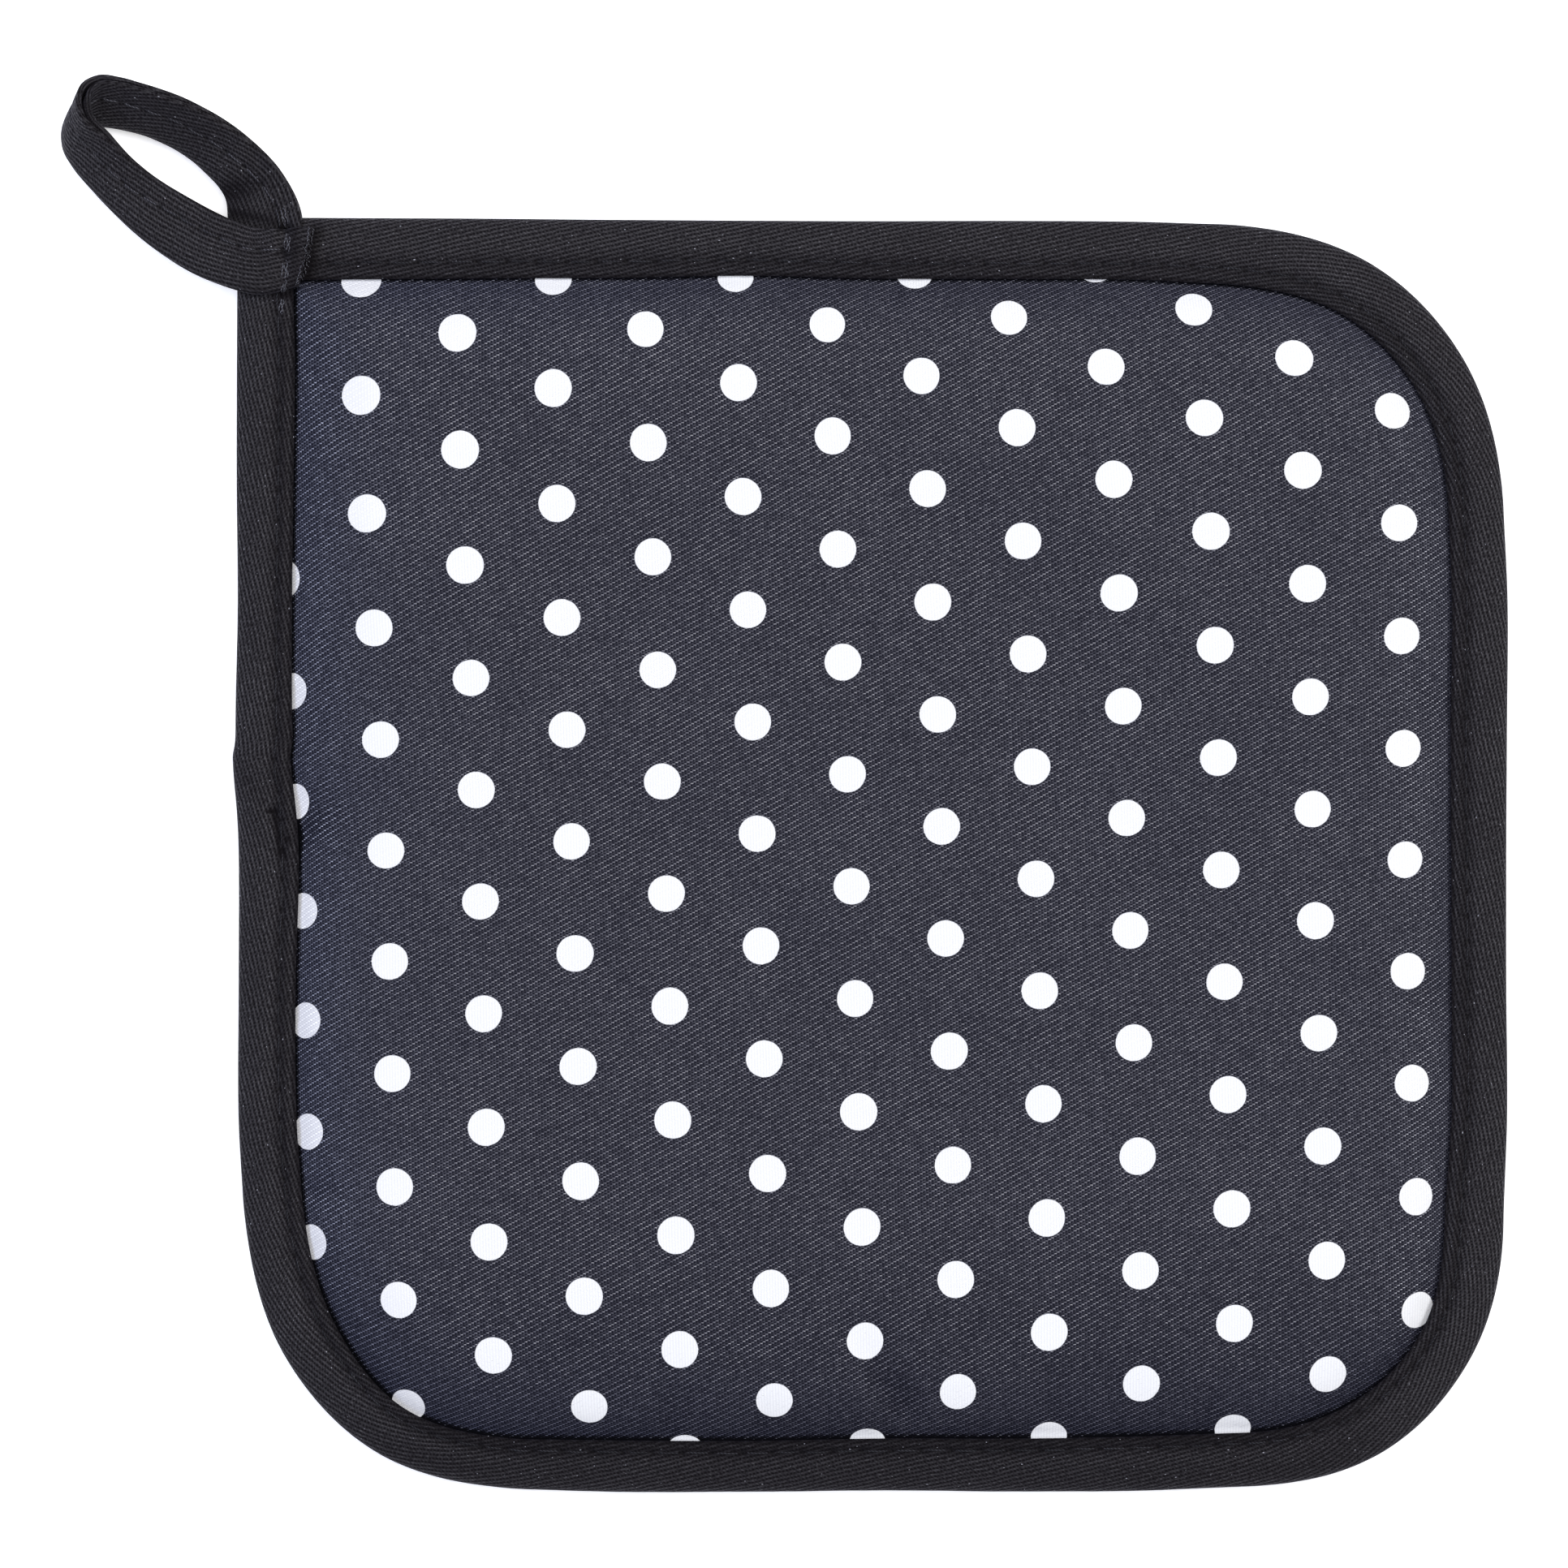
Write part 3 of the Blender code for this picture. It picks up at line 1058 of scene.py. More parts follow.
@dataclass(frozen=True)
class SpottedPad:
    """The pad: spotted cloth over filling, flat below and crowned above.

    Attributes:
        plan: where its bound edge runs.
        flange_inset: its pressed edge, in from the fold of the binding.
        flange_bottom: the underside of that edge.
        flange_top: the top of it.
        height: of the crown.
        crown_run: the distance in which most of the crown is reached.
        crown_turn: how much shorter that is at the near side, and longer at the far one.
        far_run: a longer distance in which the rest is reached.
        far_share: how large the rest is, and how much more at the near side.
        belly_run: the width of the curve down to the flat underside.
        pull: how far the topstitching draws small puckers at the binding.
        pull_pitch: between those puckers.
        cells: of the mesh, along each side.
        crowding: how much closer together its lines are near the binding.
        column_drift: how the cloth was stretched over the pad, as columns of spots in
            powers of x and y in tenths of a metre. The first list is of powers of y alone.
        row_drift: the same for rows of spots.
        swells: slow waves over the filling.
        join_at: where the tape's join draws cloth in under the binding, in x and y.
        join_reach: how far from there it does, in x and y.
        drawn: how much cloth it draws in.
        pinch_at: where the tape's join tucks the cloth in deepest, so that the painted
            contact shadow reaches furthest.
        pinch_reach: how far from there it does, in x and y.
        join_shadow_reach: how much further the painted contact shadow reaches there.
        near_narrowing: how much narrower the painted contact shadow is at the near side.
        right_narrowing: the same at the right side.
        near_edge: y where painted shade starts at the near side, where the cloth leans out
            of the light.
        near_run: how far that shade takes to come in.
        near_dim: how much shade is painted there, and how much more at the binding.
        dim_run: how far in from the binding that reaches.
        rim_reach: how far in the painted bluer rim light reaches, and how much further at
            the left.
        rim_share: how strong it is far and near, and what the left and the right side add.
    """

    plan: EdgePlan
    flange_inset: float = 1.9
    flange_bottom: float = 1.75
    flange_top: float = 3.45
    height: float = 8.5
    crown_run: float = 6.2
    crown_turn: float = 1.0
    far_run: float = 16.0
    far_share: tuple[float, float] = (0.12, 0.12)
    belly_run: float = 6.0
    pull: float = 0.10
    pull_pitch: float = 4.7
    cells: int = 170
    crowding: float = 0.055
    column_drift: tuple[tuple[float, ...], ...] = (
        (0.2414, 0.2467, 0.0637, 0.0265, -0.0013, -0.0199),
        (6.9060, -0.0164, -0.1536, 0.0949, 0.3797),
        (0.0197, -0.1591, -0.0248, 0.0729),
        (-0.1045, -0.1208, -0.2150),
        (-0.0158, 0.1798),
        (0.1018,),
    )
    row_drift: tuple[tuple[float, ...], ...] = (
        (0.7290, -5.6997, -0.0465, 0.2403, 0.0238, -0.2172),
        (0.2266, -0.0005, 0.1216, -0.0497, -0.1360),
        (0.0223, 0.0251, 0.0914, 0.1049),
        (0.0494, 0.0410, -0.1716),
        (-0.0204, -0.1399),
        (0.0052,),
    )
    swells: Waves = (
        (0.10, 61.0, 97.0, 0.4),
        (0.08, -43.0, 71.0, 2.1),
        (0.06, 37.0, 29.0, 4.0),
        (0.03, -23.0, 17.0, 1.0),
    )
    join_at: tuple[float, float] = (-89.0, 8.7)
    join_reach: tuple[float, float] = (3.5, 4.0)
    drawn: float = 0.7
    pinch_at: tuple[float, float] = (-89.9, 2.6)
    pinch_reach: tuple[float, float] = (1.6, 2.4)
    join_shadow_reach: float = 0.5
    near_narrowing: float = 0.08
    right_narrowing: float = 0.50
    near_edge: float = -52.0
    near_run: float = 30.0
    near_dim: tuple[float, float] = (0.44, 0.20)
    dim_run: float = 4.0
    rim_reach: tuple[float, float] = (6.0, 14.0)
    rim_share: tuple[float, float, float] = (0.06, 0.94, 0.25)

    def drift(
        self, powers: tuple[tuple[float, ...], ...], x: np.ndarray, y: np.ndarray
    ) -> np.ndarray:
        """Add up one of the drift tables.

        Args:
            powers: the table.
            x: places on the flat cloth.
            y: the same, up its left side.

        Returns:
            Columns or rows of spots at each place.
        """
        total = np.zeros_like(x)
        for i, line in enumerate(powers):
            for j, share in enumerate(line):
                total += share * (x / 100) ** i * (y / 100) ** j
        return total

    def spread(self) -> np.ndarray:
        """Return the mesh's lines as shares of a side, closer together near the edge."""
        even = np.linspace(-1, 1, self.cells + 1)
        return (even + self.crowding * np.sin(math.pi * even)) / 2 + 0.5

    def plan_grid(self) -> np.ndarray:
        """Lay a grid inside the pad's pressed edge.

        Returns:
            The x and y of each point, as a square array of pairs.
        """
        length = self.plan.length()
        straight = 2 * self.plan.half_side
        radii = self.plan.radii
        arc = [radius * math.pi / 4 for radius in radii]
        marks = [0.0]
        for side in range(4):
            reach = straight - radii[side] - radii[(side + 1) % 4]
            marks.append(marks[-1] + arc[side] + reach + arc[(side + 1) % 4])
        share = self.spread()
        sides = []
        for side in range(4):
            at = marks[side] + (marks[side + 1] - marks[side]) * share
            points, outward, _ = self.plan.line(at % length)
            inset = points - outward * self.flange_inset
            if side == 0:
                inset[0] = self.square_corner()
            if side == 3:
                inset[-1] = self.square_corner()
            sides.append(inset)
        top, right, bottom, left = sides[0], sides[1], sides[2][::-1], sides[3][::-1]
        u = share[None, :, None]
        v = share[:, None, None]
        between = top[None] * (1 - v) + bottom[None] * v
        across = left[:, None] * (1 - u) + right[:, None] * u
        corners = (
            top[0] * (1 - u) * (1 - v)
            + top[-1] * u * (1 - v)
            + bottom[0] * (1 - u) * v
            + bottom[-1] * u * v
        )
        return between + across - corners

    def square_corner(self) -> np.ndarray:
        """Return the pressed edge's square corner."""
        reach = self.plan.half_side - self.flange_inset
        return np.array((-reach, reach))

    def insets(self, flat: np.ndarray) -> tuple[np.ndarray, np.ndarray, np.ndarray]:
        """Measure how far in from the binding's inner edge each place is.

        Args:
            flat: the x and y of each place, one row each.

        Returns:
            The distance from the inner edge, the distance along the bound edge and the
            direction out to it.
        """
        along = np.arange(0.0, self.plan.length(), 1.5)
        edge, outward, widths = self.plan.line(along)
        inner, nearest = [], []
        # A few thousand places at a time, so that the table of distances stays small.
        for part in np.array_split(flat, len(flat) // 4000 + 1):
            reach = np.linalg.norm(part[:, None] - edge[None], axis=2) - widths[None]
            nearest.append(reach.argmin(1))
            inner.append(reach.min(1))
        closest = np.concatenate(nearest)
        return np.concatenate(inner), along[closest], outward[closest]

    def unbent(self, flat: np.ndarray, inner: np.ndarray, out: np.ndarray) -> np.ndarray:
        """Lay the cloth flat, with the length that it spends on the slope of the crown, and
        what the tape's join draws in under the binding.

        Args:
            flat: the x and y of each place, one row each.
            inner: its distance from the binding's inner edge.
            out: the direction out to it.

        Returns:
            The x and y of each place on the flat cloth.
        """
        # The length along a slope that flattens out from the binding, beyond its length in
        # the plan.
        rise = self.height - self.flange_top
        run = self.crown_run - 0.7
        spent = rise**2 / (4 * run) * np.exp(-2 * np.maximum(inner, 0) / run)
        drawn = self.drawn * bell(flat - self.join_at, np.array(self.join_reach)).prod(1)
        return flat + out * (spent - drawn)[:, None]

    def crown(self, y: np.ndarray, inner: np.ndarray) -> np.ndarray:
        """Raise the crown, steeper towards the near side.

        Args:
            y: places up the pad's left side.
            inner: their distance from the binding's inner edge.

        Returns:
            The crown's height at each place.
        """
        nearness = np.clip(-y / 90, -1, 1)
        held = np.maximum(inner, 0)
        close = np.exp(-held / (self.crown_run - self.crown_turn * nearness))
        rest, more = self.far_share
        share = rest + more * nearness
        left = (1 - share) * close + share * np.exp(-held / self.far_run)
        return self.flange_top + (self.height - self.flange_top) * (1 - left)

    def top_height(
        self, flat: np.ndarray, inner: np.ndarray, beside: np.ndarray
    ) -> np.ndarray:
        """Shape the pad's top.

        Args:
            flat: the x and y of each place, one row each.
            inner: its distance from the binding's inner edge.
            beside: its distance along the bound edge.

        Returns:
            The top's height at each place.
        """
        x, y = flat.T
        height = self.crown(y, inner)
        height += press(CREASES, x, y) * smooth_step((inner + 1.0) / 3.0)
        height += ripples(self.swells, x, y) * smooth_step(inner / 6.0)
        # The puckers are as far apart as the stitches, but drift out of step with them.
        pucker = np.sin(beside * math.tau / self.pull_pitch + 1.5 * np.sin(beside / 17))
        height += self.pull * pucker * bell(inner - 1.2, 2.0) * (inner > 0)
        return np.where(inner > 0, height, self.flange_top)

    def bottom_height(self, inner: np.ndarray) -> np.ndarray:
        """Return the height of the pad's underside at each distance from the binding."""
        return self.flange_bottom * (1 - smooth_step(inner / self.belly_run))

    def build(self, material: bpy.types.Material) -> bpy.types.Object:
        """Make the pad.

        Args:
            material: its cloth.

        Returns:
            The piece, riding on the frame.
        """
        grid = self.plan_grid()
        side = grid.shape[0]
        flat = grid.reshape(-1, 2)
        inner, beside, out = self.insets(flat)
        top = np.c_[flat, self.top_height(flat, inner, beside)]
        bottom = np.c_[flat, self.bottom_height(inner)]
        number = np.arange(side * side).reshape(side, side)
        faces = grid_faces(side, side, False)
        under = (np.array(faces) + side * side)[:, ::-1].tolist()
        ring = np.r_[number[0, :-1], number[:-1, -1], number[-1, :0:-1], number[:0:-1, 0]]
        following = np.roll(ring, -1)
        low = ring + side * side
        walls = np.stack([ring, following, following + side * side, low], -1).tolist()
        # The grid's rows run down the pad, so its top faces are turned to look up.
        faces = [face[::-1] for face in faces] + [face[::-1] for face in under] + walls
        laid = self.unbent(flat, inner, out)
        columns = self.drift(self.column_drift, *laid.T)
        rows = self.drift(self.row_drift, *laid.T)
        spots = SPOTTED_COTTON
        cloth = np.c_[columns * spots.column, -rows * spots.row, np.ones(len(flat))]
        # The rim mark holds the painted bluer rim light, the distance that sets the painted
        # contact shadow beside the binding, and the painted shade.
        shade_mark = inner + self.narrower_shadow(out) - self.join_shadow(flat)
        rim = np.c_[self.rim_light(flat, inner), shade_mark, self.dimness(flat, inner)]
        marks = {"cloth": np.vstack([cloth, cloth]), "rim": np.vstack([rim, rim])}
        points = np.vstack([top, bottom])
        piece = make_piece("spotted_pad", points, faces, material, marks)
        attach(piece, "root")
        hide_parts("panel")
        return piece

    def join_shadow(self, flat: np.ndarray) -> np.ndarray:
        """Return how much further the painted contact shadow reaches where the tape's join
        tucks the cloth in.
        """
        near = bell(flat - self.pinch_at, np.array(self.pinch_reach))
        return self.join_shadow_reach * near.prod(1)

    def narrower_shadow(self, out: np.ndarray) -> np.ndarray:
        """Return how much narrower the painted contact shadow is at the near and the right
        side.
        """
        near, right = np.maximum(-out[:, 1], 0), np.maximum(out[:, 0], 0)
        return self.near_narrowing * near**2 + self.right_narrowing * right**2

    def dimness(self, flat: np.ndarray, inner: np.ndarray) -> np.ndarray:
        """Find where shade is painted: towards the near side, where the cloth leans out of
        the light, and in the creases that the sewing pinches.

        Args:
            flat: the x and y of each place, one row each.
            inner: its distance from the binding's inner edge.

        Returns:
            How much shade is painted at each place, from 0 to 1.
        """
        x, y = flat.T
        least, more = self.near_dim
        dim = least + more * np.exp(-np.maximum(inner, 0) / self.dim_run)
        dim = dim * smooth_step((self.near_edge - y) / self.near_run)
        return np.clip(dim + press(CREASE_SHADES, x, y), 0, 1)

    def rim_light(self, flat: np.ndarray, inner: np.ndarray) -> np.ndarray:
        """Find how much bluer rim light is painted on each place.

        Args:
            flat: the x and y of each place, one row each.
            inner: its distance from the binding's inner edge.

        Returns:
            The light at each place, from 0 to 1.
        """
        x = flat[:, 0] / 100
        left, right = np.clip(-x, 0, 1), np.clip(x, 0, 1)
        reach = self.rim_reach[0] + self.rim_reach[1] * left
        share = self.rim_share[0] + self.rim_share[1] * left + self.rim_share[2] * right
        return np.exp(-np.maximum(inner, 0) / reach) * share


# ------------------------------------------------------------------ the folded tape


@dataclass(frozen=True)
class TapeRun:
    """Cross-sections along a folded tape, one row of each array for each section.

    Attributes:
        along: distance along the tape.
        fold: where the tape's fold touches.
        across: direction from the fold to the open edges.
        face: direction out of the layer that shows where the tape binds the pad.
        width: from the fold to the open edges.
        half: half the thickness of the folded tape.
        seam: from the open edges in to the seam.
        sink: how far the seam pulls the tape in.
        droop: how far the tape drops from its seam to its open edge.
        lag: how far the open edges lie behind the fold, along the tape.
        stitches: stitches counted from the tape's start.
        pitch: length of a stitch.
    """

    along: np.ndarray
    fold: np.ndarray
    across: np.ndarray
    face: np.ndarray
    width: np.ndarray
    half: np.ndarray
    seam: np.ndarray
    sink: np.ndarray
    droop: np.ndarray
    lag: np.ndarray
    stitches: np.ndarray
    pitch: np.ndarray

    def at(self, along: np.ndarray) -> "TapeRun":
        """Read the sections between those that are kept.

        Args:
            along: distances along the tape.

        Returns:
            The sections there.
        """
        made = {}
        for name in self.__dataclass_fields__:
            columns = np.atleast_2d(getattr(self, name).T)
            read = [np.interp(along, self.along, column) for column in columns]
            made[name] = read[0] if len(read) == 1 else np.stack(read, 1)
        return TapeRun(**made)


# Creases of the tape: its diagonal join on the left, the buckle where the loop's upper limb
# leaves the corner, and the dents of the seam that holds the crossing.
TAPE_CREASES = lay_creases(
    Fold.TROUGH,
    (-99.4, 13.2, -93.0, 4.0, 0.30, 0.55),
    (-93.9, 7.0, -92.7, -1.0, 0.45, 0.60),
    (-102.6, 103.6, -93.6, 106.4, 0.95, 1.5),
    (-98.0, 112.5, -94.6, 104.5, 0.35, 1.0),
    (-92.3, 98.2, -92.5, 84.0, 0.75, 0.9),
    (-92.2, 98.2, -92.2, 102.5, 0.60, 0.9),
    (-96.8, 97.6, -106.5, 100.0, 0.40, 1.6),
) + lay_creases(
    Fold.RIDGE,
    (-98.0, 9.6, -94.6, 3.4, 0.20, 1.2),
    (-92.0, 8.0, -91.4, 0.0, 0.22, 1.0),
    (-101.6, 100.6, -95.6, 102.2, 0.30, 1.6),
    (-104.6, 107.6, -97.0, 109.6, 0.30, 1.7),
    (-97.5, 92.0, -102.5, 94.8, 0.25, 2.6),
)


# Painted shade on the tape where light hardly reaches it: at the join, in the buckle, along
# the limb that crosses over, round the stitches of the crossing and at the cut end. A pair
# of opposite lines makes one that doesn't die away.
PAINTED_TAPE_SHADES = lay_creases(
    Fold.RIDGE,
    (-99.0, 12.6, -93.6, 5.4, 0.40, 0.26),
    (-93.6, 5.4, -99.0, 12.6, 0.25, 0.26),
    (-94.6, 6.9, -92.3, 6.7, 0.90, 0.32),
    (-93.9, 7.0, -92.9, -0.5, 0.90, 0.34),
    (-93.0, -0.5, -93.9, 7.0, 0.90, 0.30),
    (-92.2, 2.6, -90.9, 1.6, 0.90, 0.30),
    (-92.6, 0.4, -92.0, -1.4, 0.80, 0.34),
    (-102.0, 103.8, -93.5, 106.4, 0.62, 1.5),
    (-101.8, 101.2, -88.0, 98.9, 0.60, 0.8),
    (-93.0, 98.8, -106.0, 102.0, 0.40, 0.8),
    (-90.6, 97.5, -91.0, 89.4, 0.45, 1.3),
    (-91.0, 89.4, -90.6, 97.5, 0.45, 1.3),
    (-87.3, 98.4, -89.3, 89.0, 0.70, 0.8),
    (-89.3, 89.0, -87.3, 98.4, 0.70, 0.8),
    (-92.4, 98.2, -91.4, 97.8, 0.60, 0.7),
    (-92.2, 94.3, -91.2, 94.0, 0.60, 0.7),
    (-91.6, 87.9, -95.4, 88.2, 0.60, 0.6),
    (-99.8, 88.4, -91.0, 88.0, 0.45, 0.5),
    (-119.0, 120.0, -96.0, 107.0, 0.10, 5.0),
    (-96.0, 107.0, -119.0, 120.0, 0.14, 5.0),
    (-99.8, 103.4, -96.5, 105.0, 0.12, 2.5),
    (-96.5, 93.0, -90.0, 94.0, 0.12, 4.0),
)


# The loop lies as it dropped, so its stations are places, like a plan's: x, y and z of the
# tape's fold, x, y and z between its open edges, and the space between its two layers.
LOOP_STATIONS = (
    (-99.69, 89.67, 2.70, -90.80, 89.73, 2.70, 2.2),
    (-100.20, 94.25, 2.70, -90.41, 94.55, 2.70, 2.2),
    (-101.21, 98.49, 2.70, -89.67, 100.18, 2.70, 1.9),
    (-101.79, 103.29, 2.21, -92.95, 107.17, 3.79, 0.5),
    (-105.05, 107.37, 1.88, -98.99, 113.07, 5.12, 0.3),
    (-110.05, 111.17, 1.40, -106.33, 117.36, 6.80, 0.3),
    (-116.71, 113.78, 1.36, -114.03, 120.28, 7.64, 0.3),
    (-121.05, 114.54, 1.10, -118.24, 121.36, 7.90, 0.3),
    (-123.98, 114.86, 0.90, -121.05, 121.49, 8.50, 0.4),
    (-125.89, 114.54, 0.75, -122.90, 120.34, 9.10, 0.5),
    (-126.85, 113.07, 0.75, -123.60, 118.24, 9.30, 0.5),
    (-126.98, 111.10, 1.20, -122.96, 115.69, 9.00, 0.4),
    (-125.96, 108.55, 2.40, -119.90, 112.63, 7.60, 0.3),
    (-123.21, 105.04, 3.20, -117.09, 109.76, 6.70, 0.3),
    (-119.92, 101.45, 3.85, -114.16, 107.33, 5.95, 0.3),
    (-112.05, 94.58, 4.94, -106.65, 102.74, 5.46, 0.3),
    (-104.38, 90.17, 5.80, -100.23, 99.49, 5.80, 0.3),
    (-97.27, 87.96, 6.05, -96.53, 98.24, 6.05, 0.3),
    (-89.82, 89.16, 6.05, -87.82, 98.48, 6.05, 0.3),
)


@dataclass(frozen=True)
class FoldedTape:
    """One length of bias tape, folded in half along its length: the binding, then the loop.

    Attributes:
        plan: where the bound edge runs.
        thickness: of one layer, with its edge turned in.
        slit: between the layers where they hold the pad.
        middle: height of the binding's middle.
        start: distance along the bound edge where the tape starts, under the crossing.
        step: between sections in the binding.
        fine_step: between them at the tape's join.
        fine_reach: how far before and after the join that is.
        loop_step: between sections in the loop.
        lobe: how far each ply of an open edge bulges.
        arch: reach of the round side at the fold, in half thicknesses.
        roundness: the power of its round, 2 for a circle and more for a fuller side.
        loop_shear: how much more the weave slants on the loop's lower limb.
        lower_limb: that limb's length.
        turn_down: how far the binding drops from its seam to its open edge.
        near_tilt: how far the near side's binding hangs down to its fold, in degrees.
        inset: from the open edges in to the binding's seam, how much more it is in the loop
            and how much less at the near side.
        sink: how far the seam pulls the tape in, and how much less in the loop.
        beat: how much of that is at its needle holes only.
        sink_reach: of its groove, towards the fold and towards the open edges.
        turn_from: how far out from the seam the turned-down edge starts.
        turn_run: how far it takes to turn down.
        hollow: depth of the shallow dip inside the open edge's lip.
        hollow_at: how far out from the seam that is.
        hollow_reach: of the dip.
        stitch: a stitch's length, how much shorter it is at the middle of the right side,
            and how much in the loop.
        merge: the distance over which the binding comes to the loop's width.
        groove: how much shade is painted along the tape's seam, and from there to its open
            edge.
        groove_reach: of that painted dark line, towards the fold and towards the open
            edges.
        lip_dark: how much shade is painted on its open edge.
        lip_width: how wide that is.
        near_fold_shade: how much shade is painted at most towards the near side's fold.
        hem_from: y where that starts.
        hem_run: how far it takes.
        darkest: how much shade any place has painted on it at most.
        dents: slow waves over its skin.
    """

    plan: EdgePlan
    thickness: float = 1.0
    slit: float = 2.2
    middle: float = 2.7
    start: float = 9.4
    step: float = 0.9
    fine_step: float = 0.28
    fine_reach: float = 9.0
    loop_step: float = 0.55
    lobe: float = 0.26
    arch: float = 2.5
    roundness: float = 2.15
    loop_shear: float = -0.168
    lower_limb: float = 46.0
    turn_down: float = 0.45
    near_tilt: float = 10.0
    inset: tuple[float, float, float] = (2.5, 0.95, 0.75)
    sink: tuple[float, float] = (0.34, 0.14)
    beat: float = 0.28
    sink_reach: tuple[float, float] = (1.3, 0.75)
    turn_from: float = 0.9
    turn_run: float = 1.7
    hollow: float = 0.06
    hollow_at: float = 1.5
    hollow_reach: float = 0.8
    stitch: tuple[float, float, float] = (4.7, 0.8, 1.1)
    merge: float = 14.0
    groove: tuple[float, float] = (0.42, 0.13)
    groove_reach: tuple[float, float] = (0.9, 1.15)
    lip_dark: float = 0.60
    lip_width: float = 0.75
    near_fold_shade: float = 0.19
    hem_from: float = -86.0
    hem_run: float = 8.0
    darkest: float = 0.9
    dents: Waves = (
        (0.048, 31.0, 90.0, 0.3),
        (0.040, 17.0, -41.0, 1.9),
        (0.028, 9.3, 23.0, 3.1),
        (0.016, -5.1, 8.0, 5.0),
    )

    def bound_length(self) -> float:
        """Return where along the tape the binding ends and the loop starts."""
        return self.plan.length() - (self.plan.half_side - LOOP_STATIONS[0][1])

    def in_loop(self, along: np.ndarray) -> np.ndarray:
        """Return 0 in the binding and 1 in the loop."""
        return smooth_step((along - self.bound_length() - 2.0) / 8.0)

    def run(self) -> TapeRun:
        """Lay out the whole tape's cross-sections.

        Returns:
            The sections, from the start under the crossing to the cut end.
        """
        last, join, reach = self.bound_length(), self.plan.join, self.fine_reach
        count = int((last - self.start) / self.step)
        along = np.linspace(self.start, last - self.step, count)
        at_join = join + np.arange(-reach, reach, self.fine_step)
        along = np.union1d(along[np.abs(along - join) > reach], at_join)
        points, outward, widths = self.plan.line(along)
        count = len(along)
        near = np.maximum(-outward[:, 1], 0) ** 1.5
        tilt = math.radians(self.near_tilt) * near[:, None]
        over = np.array([(0.0, 0.0, 1.0)])
        inward = np.c_[-outward, np.zeros(count)]
        across = inward * np.cos(tilt) + over * np.sin(tilt)
        face = over * np.cos(tilt) - inward * np.sin(tilt)
        loop = self.loop()
        joined = smooth_step((along - (last - self.merge)) / self.merge)
        widths = widths * (1 - joined) + loop["width"][0] * joined
        fold = np.c_[points, np.full(count, self.middle)]
        fold += (inward - across) * widths[:, None] / 2
        steps = np.linalg.norm(np.diff(loop["middle"], axis=0), axis=1)
        loop_along = last + np.r_[0, np.cumsum(steps)]
        all_along = np.r_[along, loop_along]
        in_loop = self.in_loop(all_along)
        all_near = np.r_[near, np.zeros(len(loop_along))]
        pitch = self.pitches(all_along)
        inset, more, less = self.inset
        return TapeRun(
            along=all_along,
            fold=np.vstack([fold, loop["fold"]]),
            across=np.vstack([across, loop["across"]]),
            face=np.vstack([face, loop["face"]]),
            width=np.r_[widths, loop["width"]],
            half=np.r_[np.full(count, self.slit / 2), loop["slit"] / 2] + self.thickness,
            seam=inset + more * in_loop + 0.10 * np.sin(all_along / 23.0) - less * all_near,
            sink=self.sink[0] - self.sink[1] * in_loop,
            droop=self.turn_down * (1 - 0.85 * in_loop),
            lag=np.r_[np.zeros(count), loop["lag"]],
            stitches=np.r_[0, np.cumsum(np.diff(all_along) / pitch[:-1])],
            pitch=pitch,
        )

    def pitches(self, along: np.ndarray) -> np.ndarray:
        """Return the stitches' length, shorter down the right side and in the loop."""
        right, loop = bell(along - 285.0, 90.0), smooth_step((along - 725.0) / 15)
        return self.stitch[0] - self.stitch[1] * right - self.stitch[2] * loop

    def loop(self) -> dict[str, np.ndarray]:
        """Lay out the loop's sections from its stations.

        Returns:
            One row for each section of each thing that they hold, by name.
        """
        stations = np.array(LOOP_STATIONS)
        middles = (stations[:, :3] + stations[:, 3:6]) / 2
        knots = np.r_[0, np.cumsum(np.linalg.norm(np.diff(middles, axis=0), axis=1))]
        rows = read_uneven(knots, stations, np.arange(0, knots[-1], self.loop_step))
        fold, edge = rows[:, :3], rows[:, 3:6]
        middle = (fold + edge) / 2
        heading = normalised(np.gradient(middle, axis=0))
        across = normalised(edge - fold)
        return {
            "middle": middle,
            "fold": fold,
            "across": across,
            "face": normalised(np.cross(across, heading)),
            "width": np.linalg.norm(edge - fold, axis=1),
            "lag": -((edge - fold) * heading).sum(1),
            "slit": rows[:, 6],
        }

    def outer_height(self, run: TapeRun, reach: np.ndarray, side: float) -> np.ndarray:
        """Shape the outer skin of one layer.

        Args:
            run: the sections.
            reach: for each section, distances from the fold, one row each.
            side: 1 for the layer that shows in the binding and -1 for the other.

        Returns:
            How far the skin stands from the tape's middle, one row for each section.
        """
        half = run.half[:, None]
        share = np.clip(1 - reach / (self.arch * half), 0, 1)
        height = half * (1 - share**self.roundness) ** (1 / self.roundness)
        from_seam = reach - (run.width - run.seam)[:, None]
        turned = smooth_step((from_seam - self.turn_from) / self.turn_run)
        height -= run.droop[:, None] * turned
        beat = 1 - self.beat + self.beat * np.cos(run.stitches * math.tau)[:, None]
        groove = bell(from_seam, np.where(from_seam < 0, *self.sink_reach))
        height -= run.sink[:, None] * groove * beat
        height -= self.hollow * bell(from_seam - self.hollow_at, self.hollow_reach)
        return height + ripples(self.dents, run.along[:, None], side * reach)

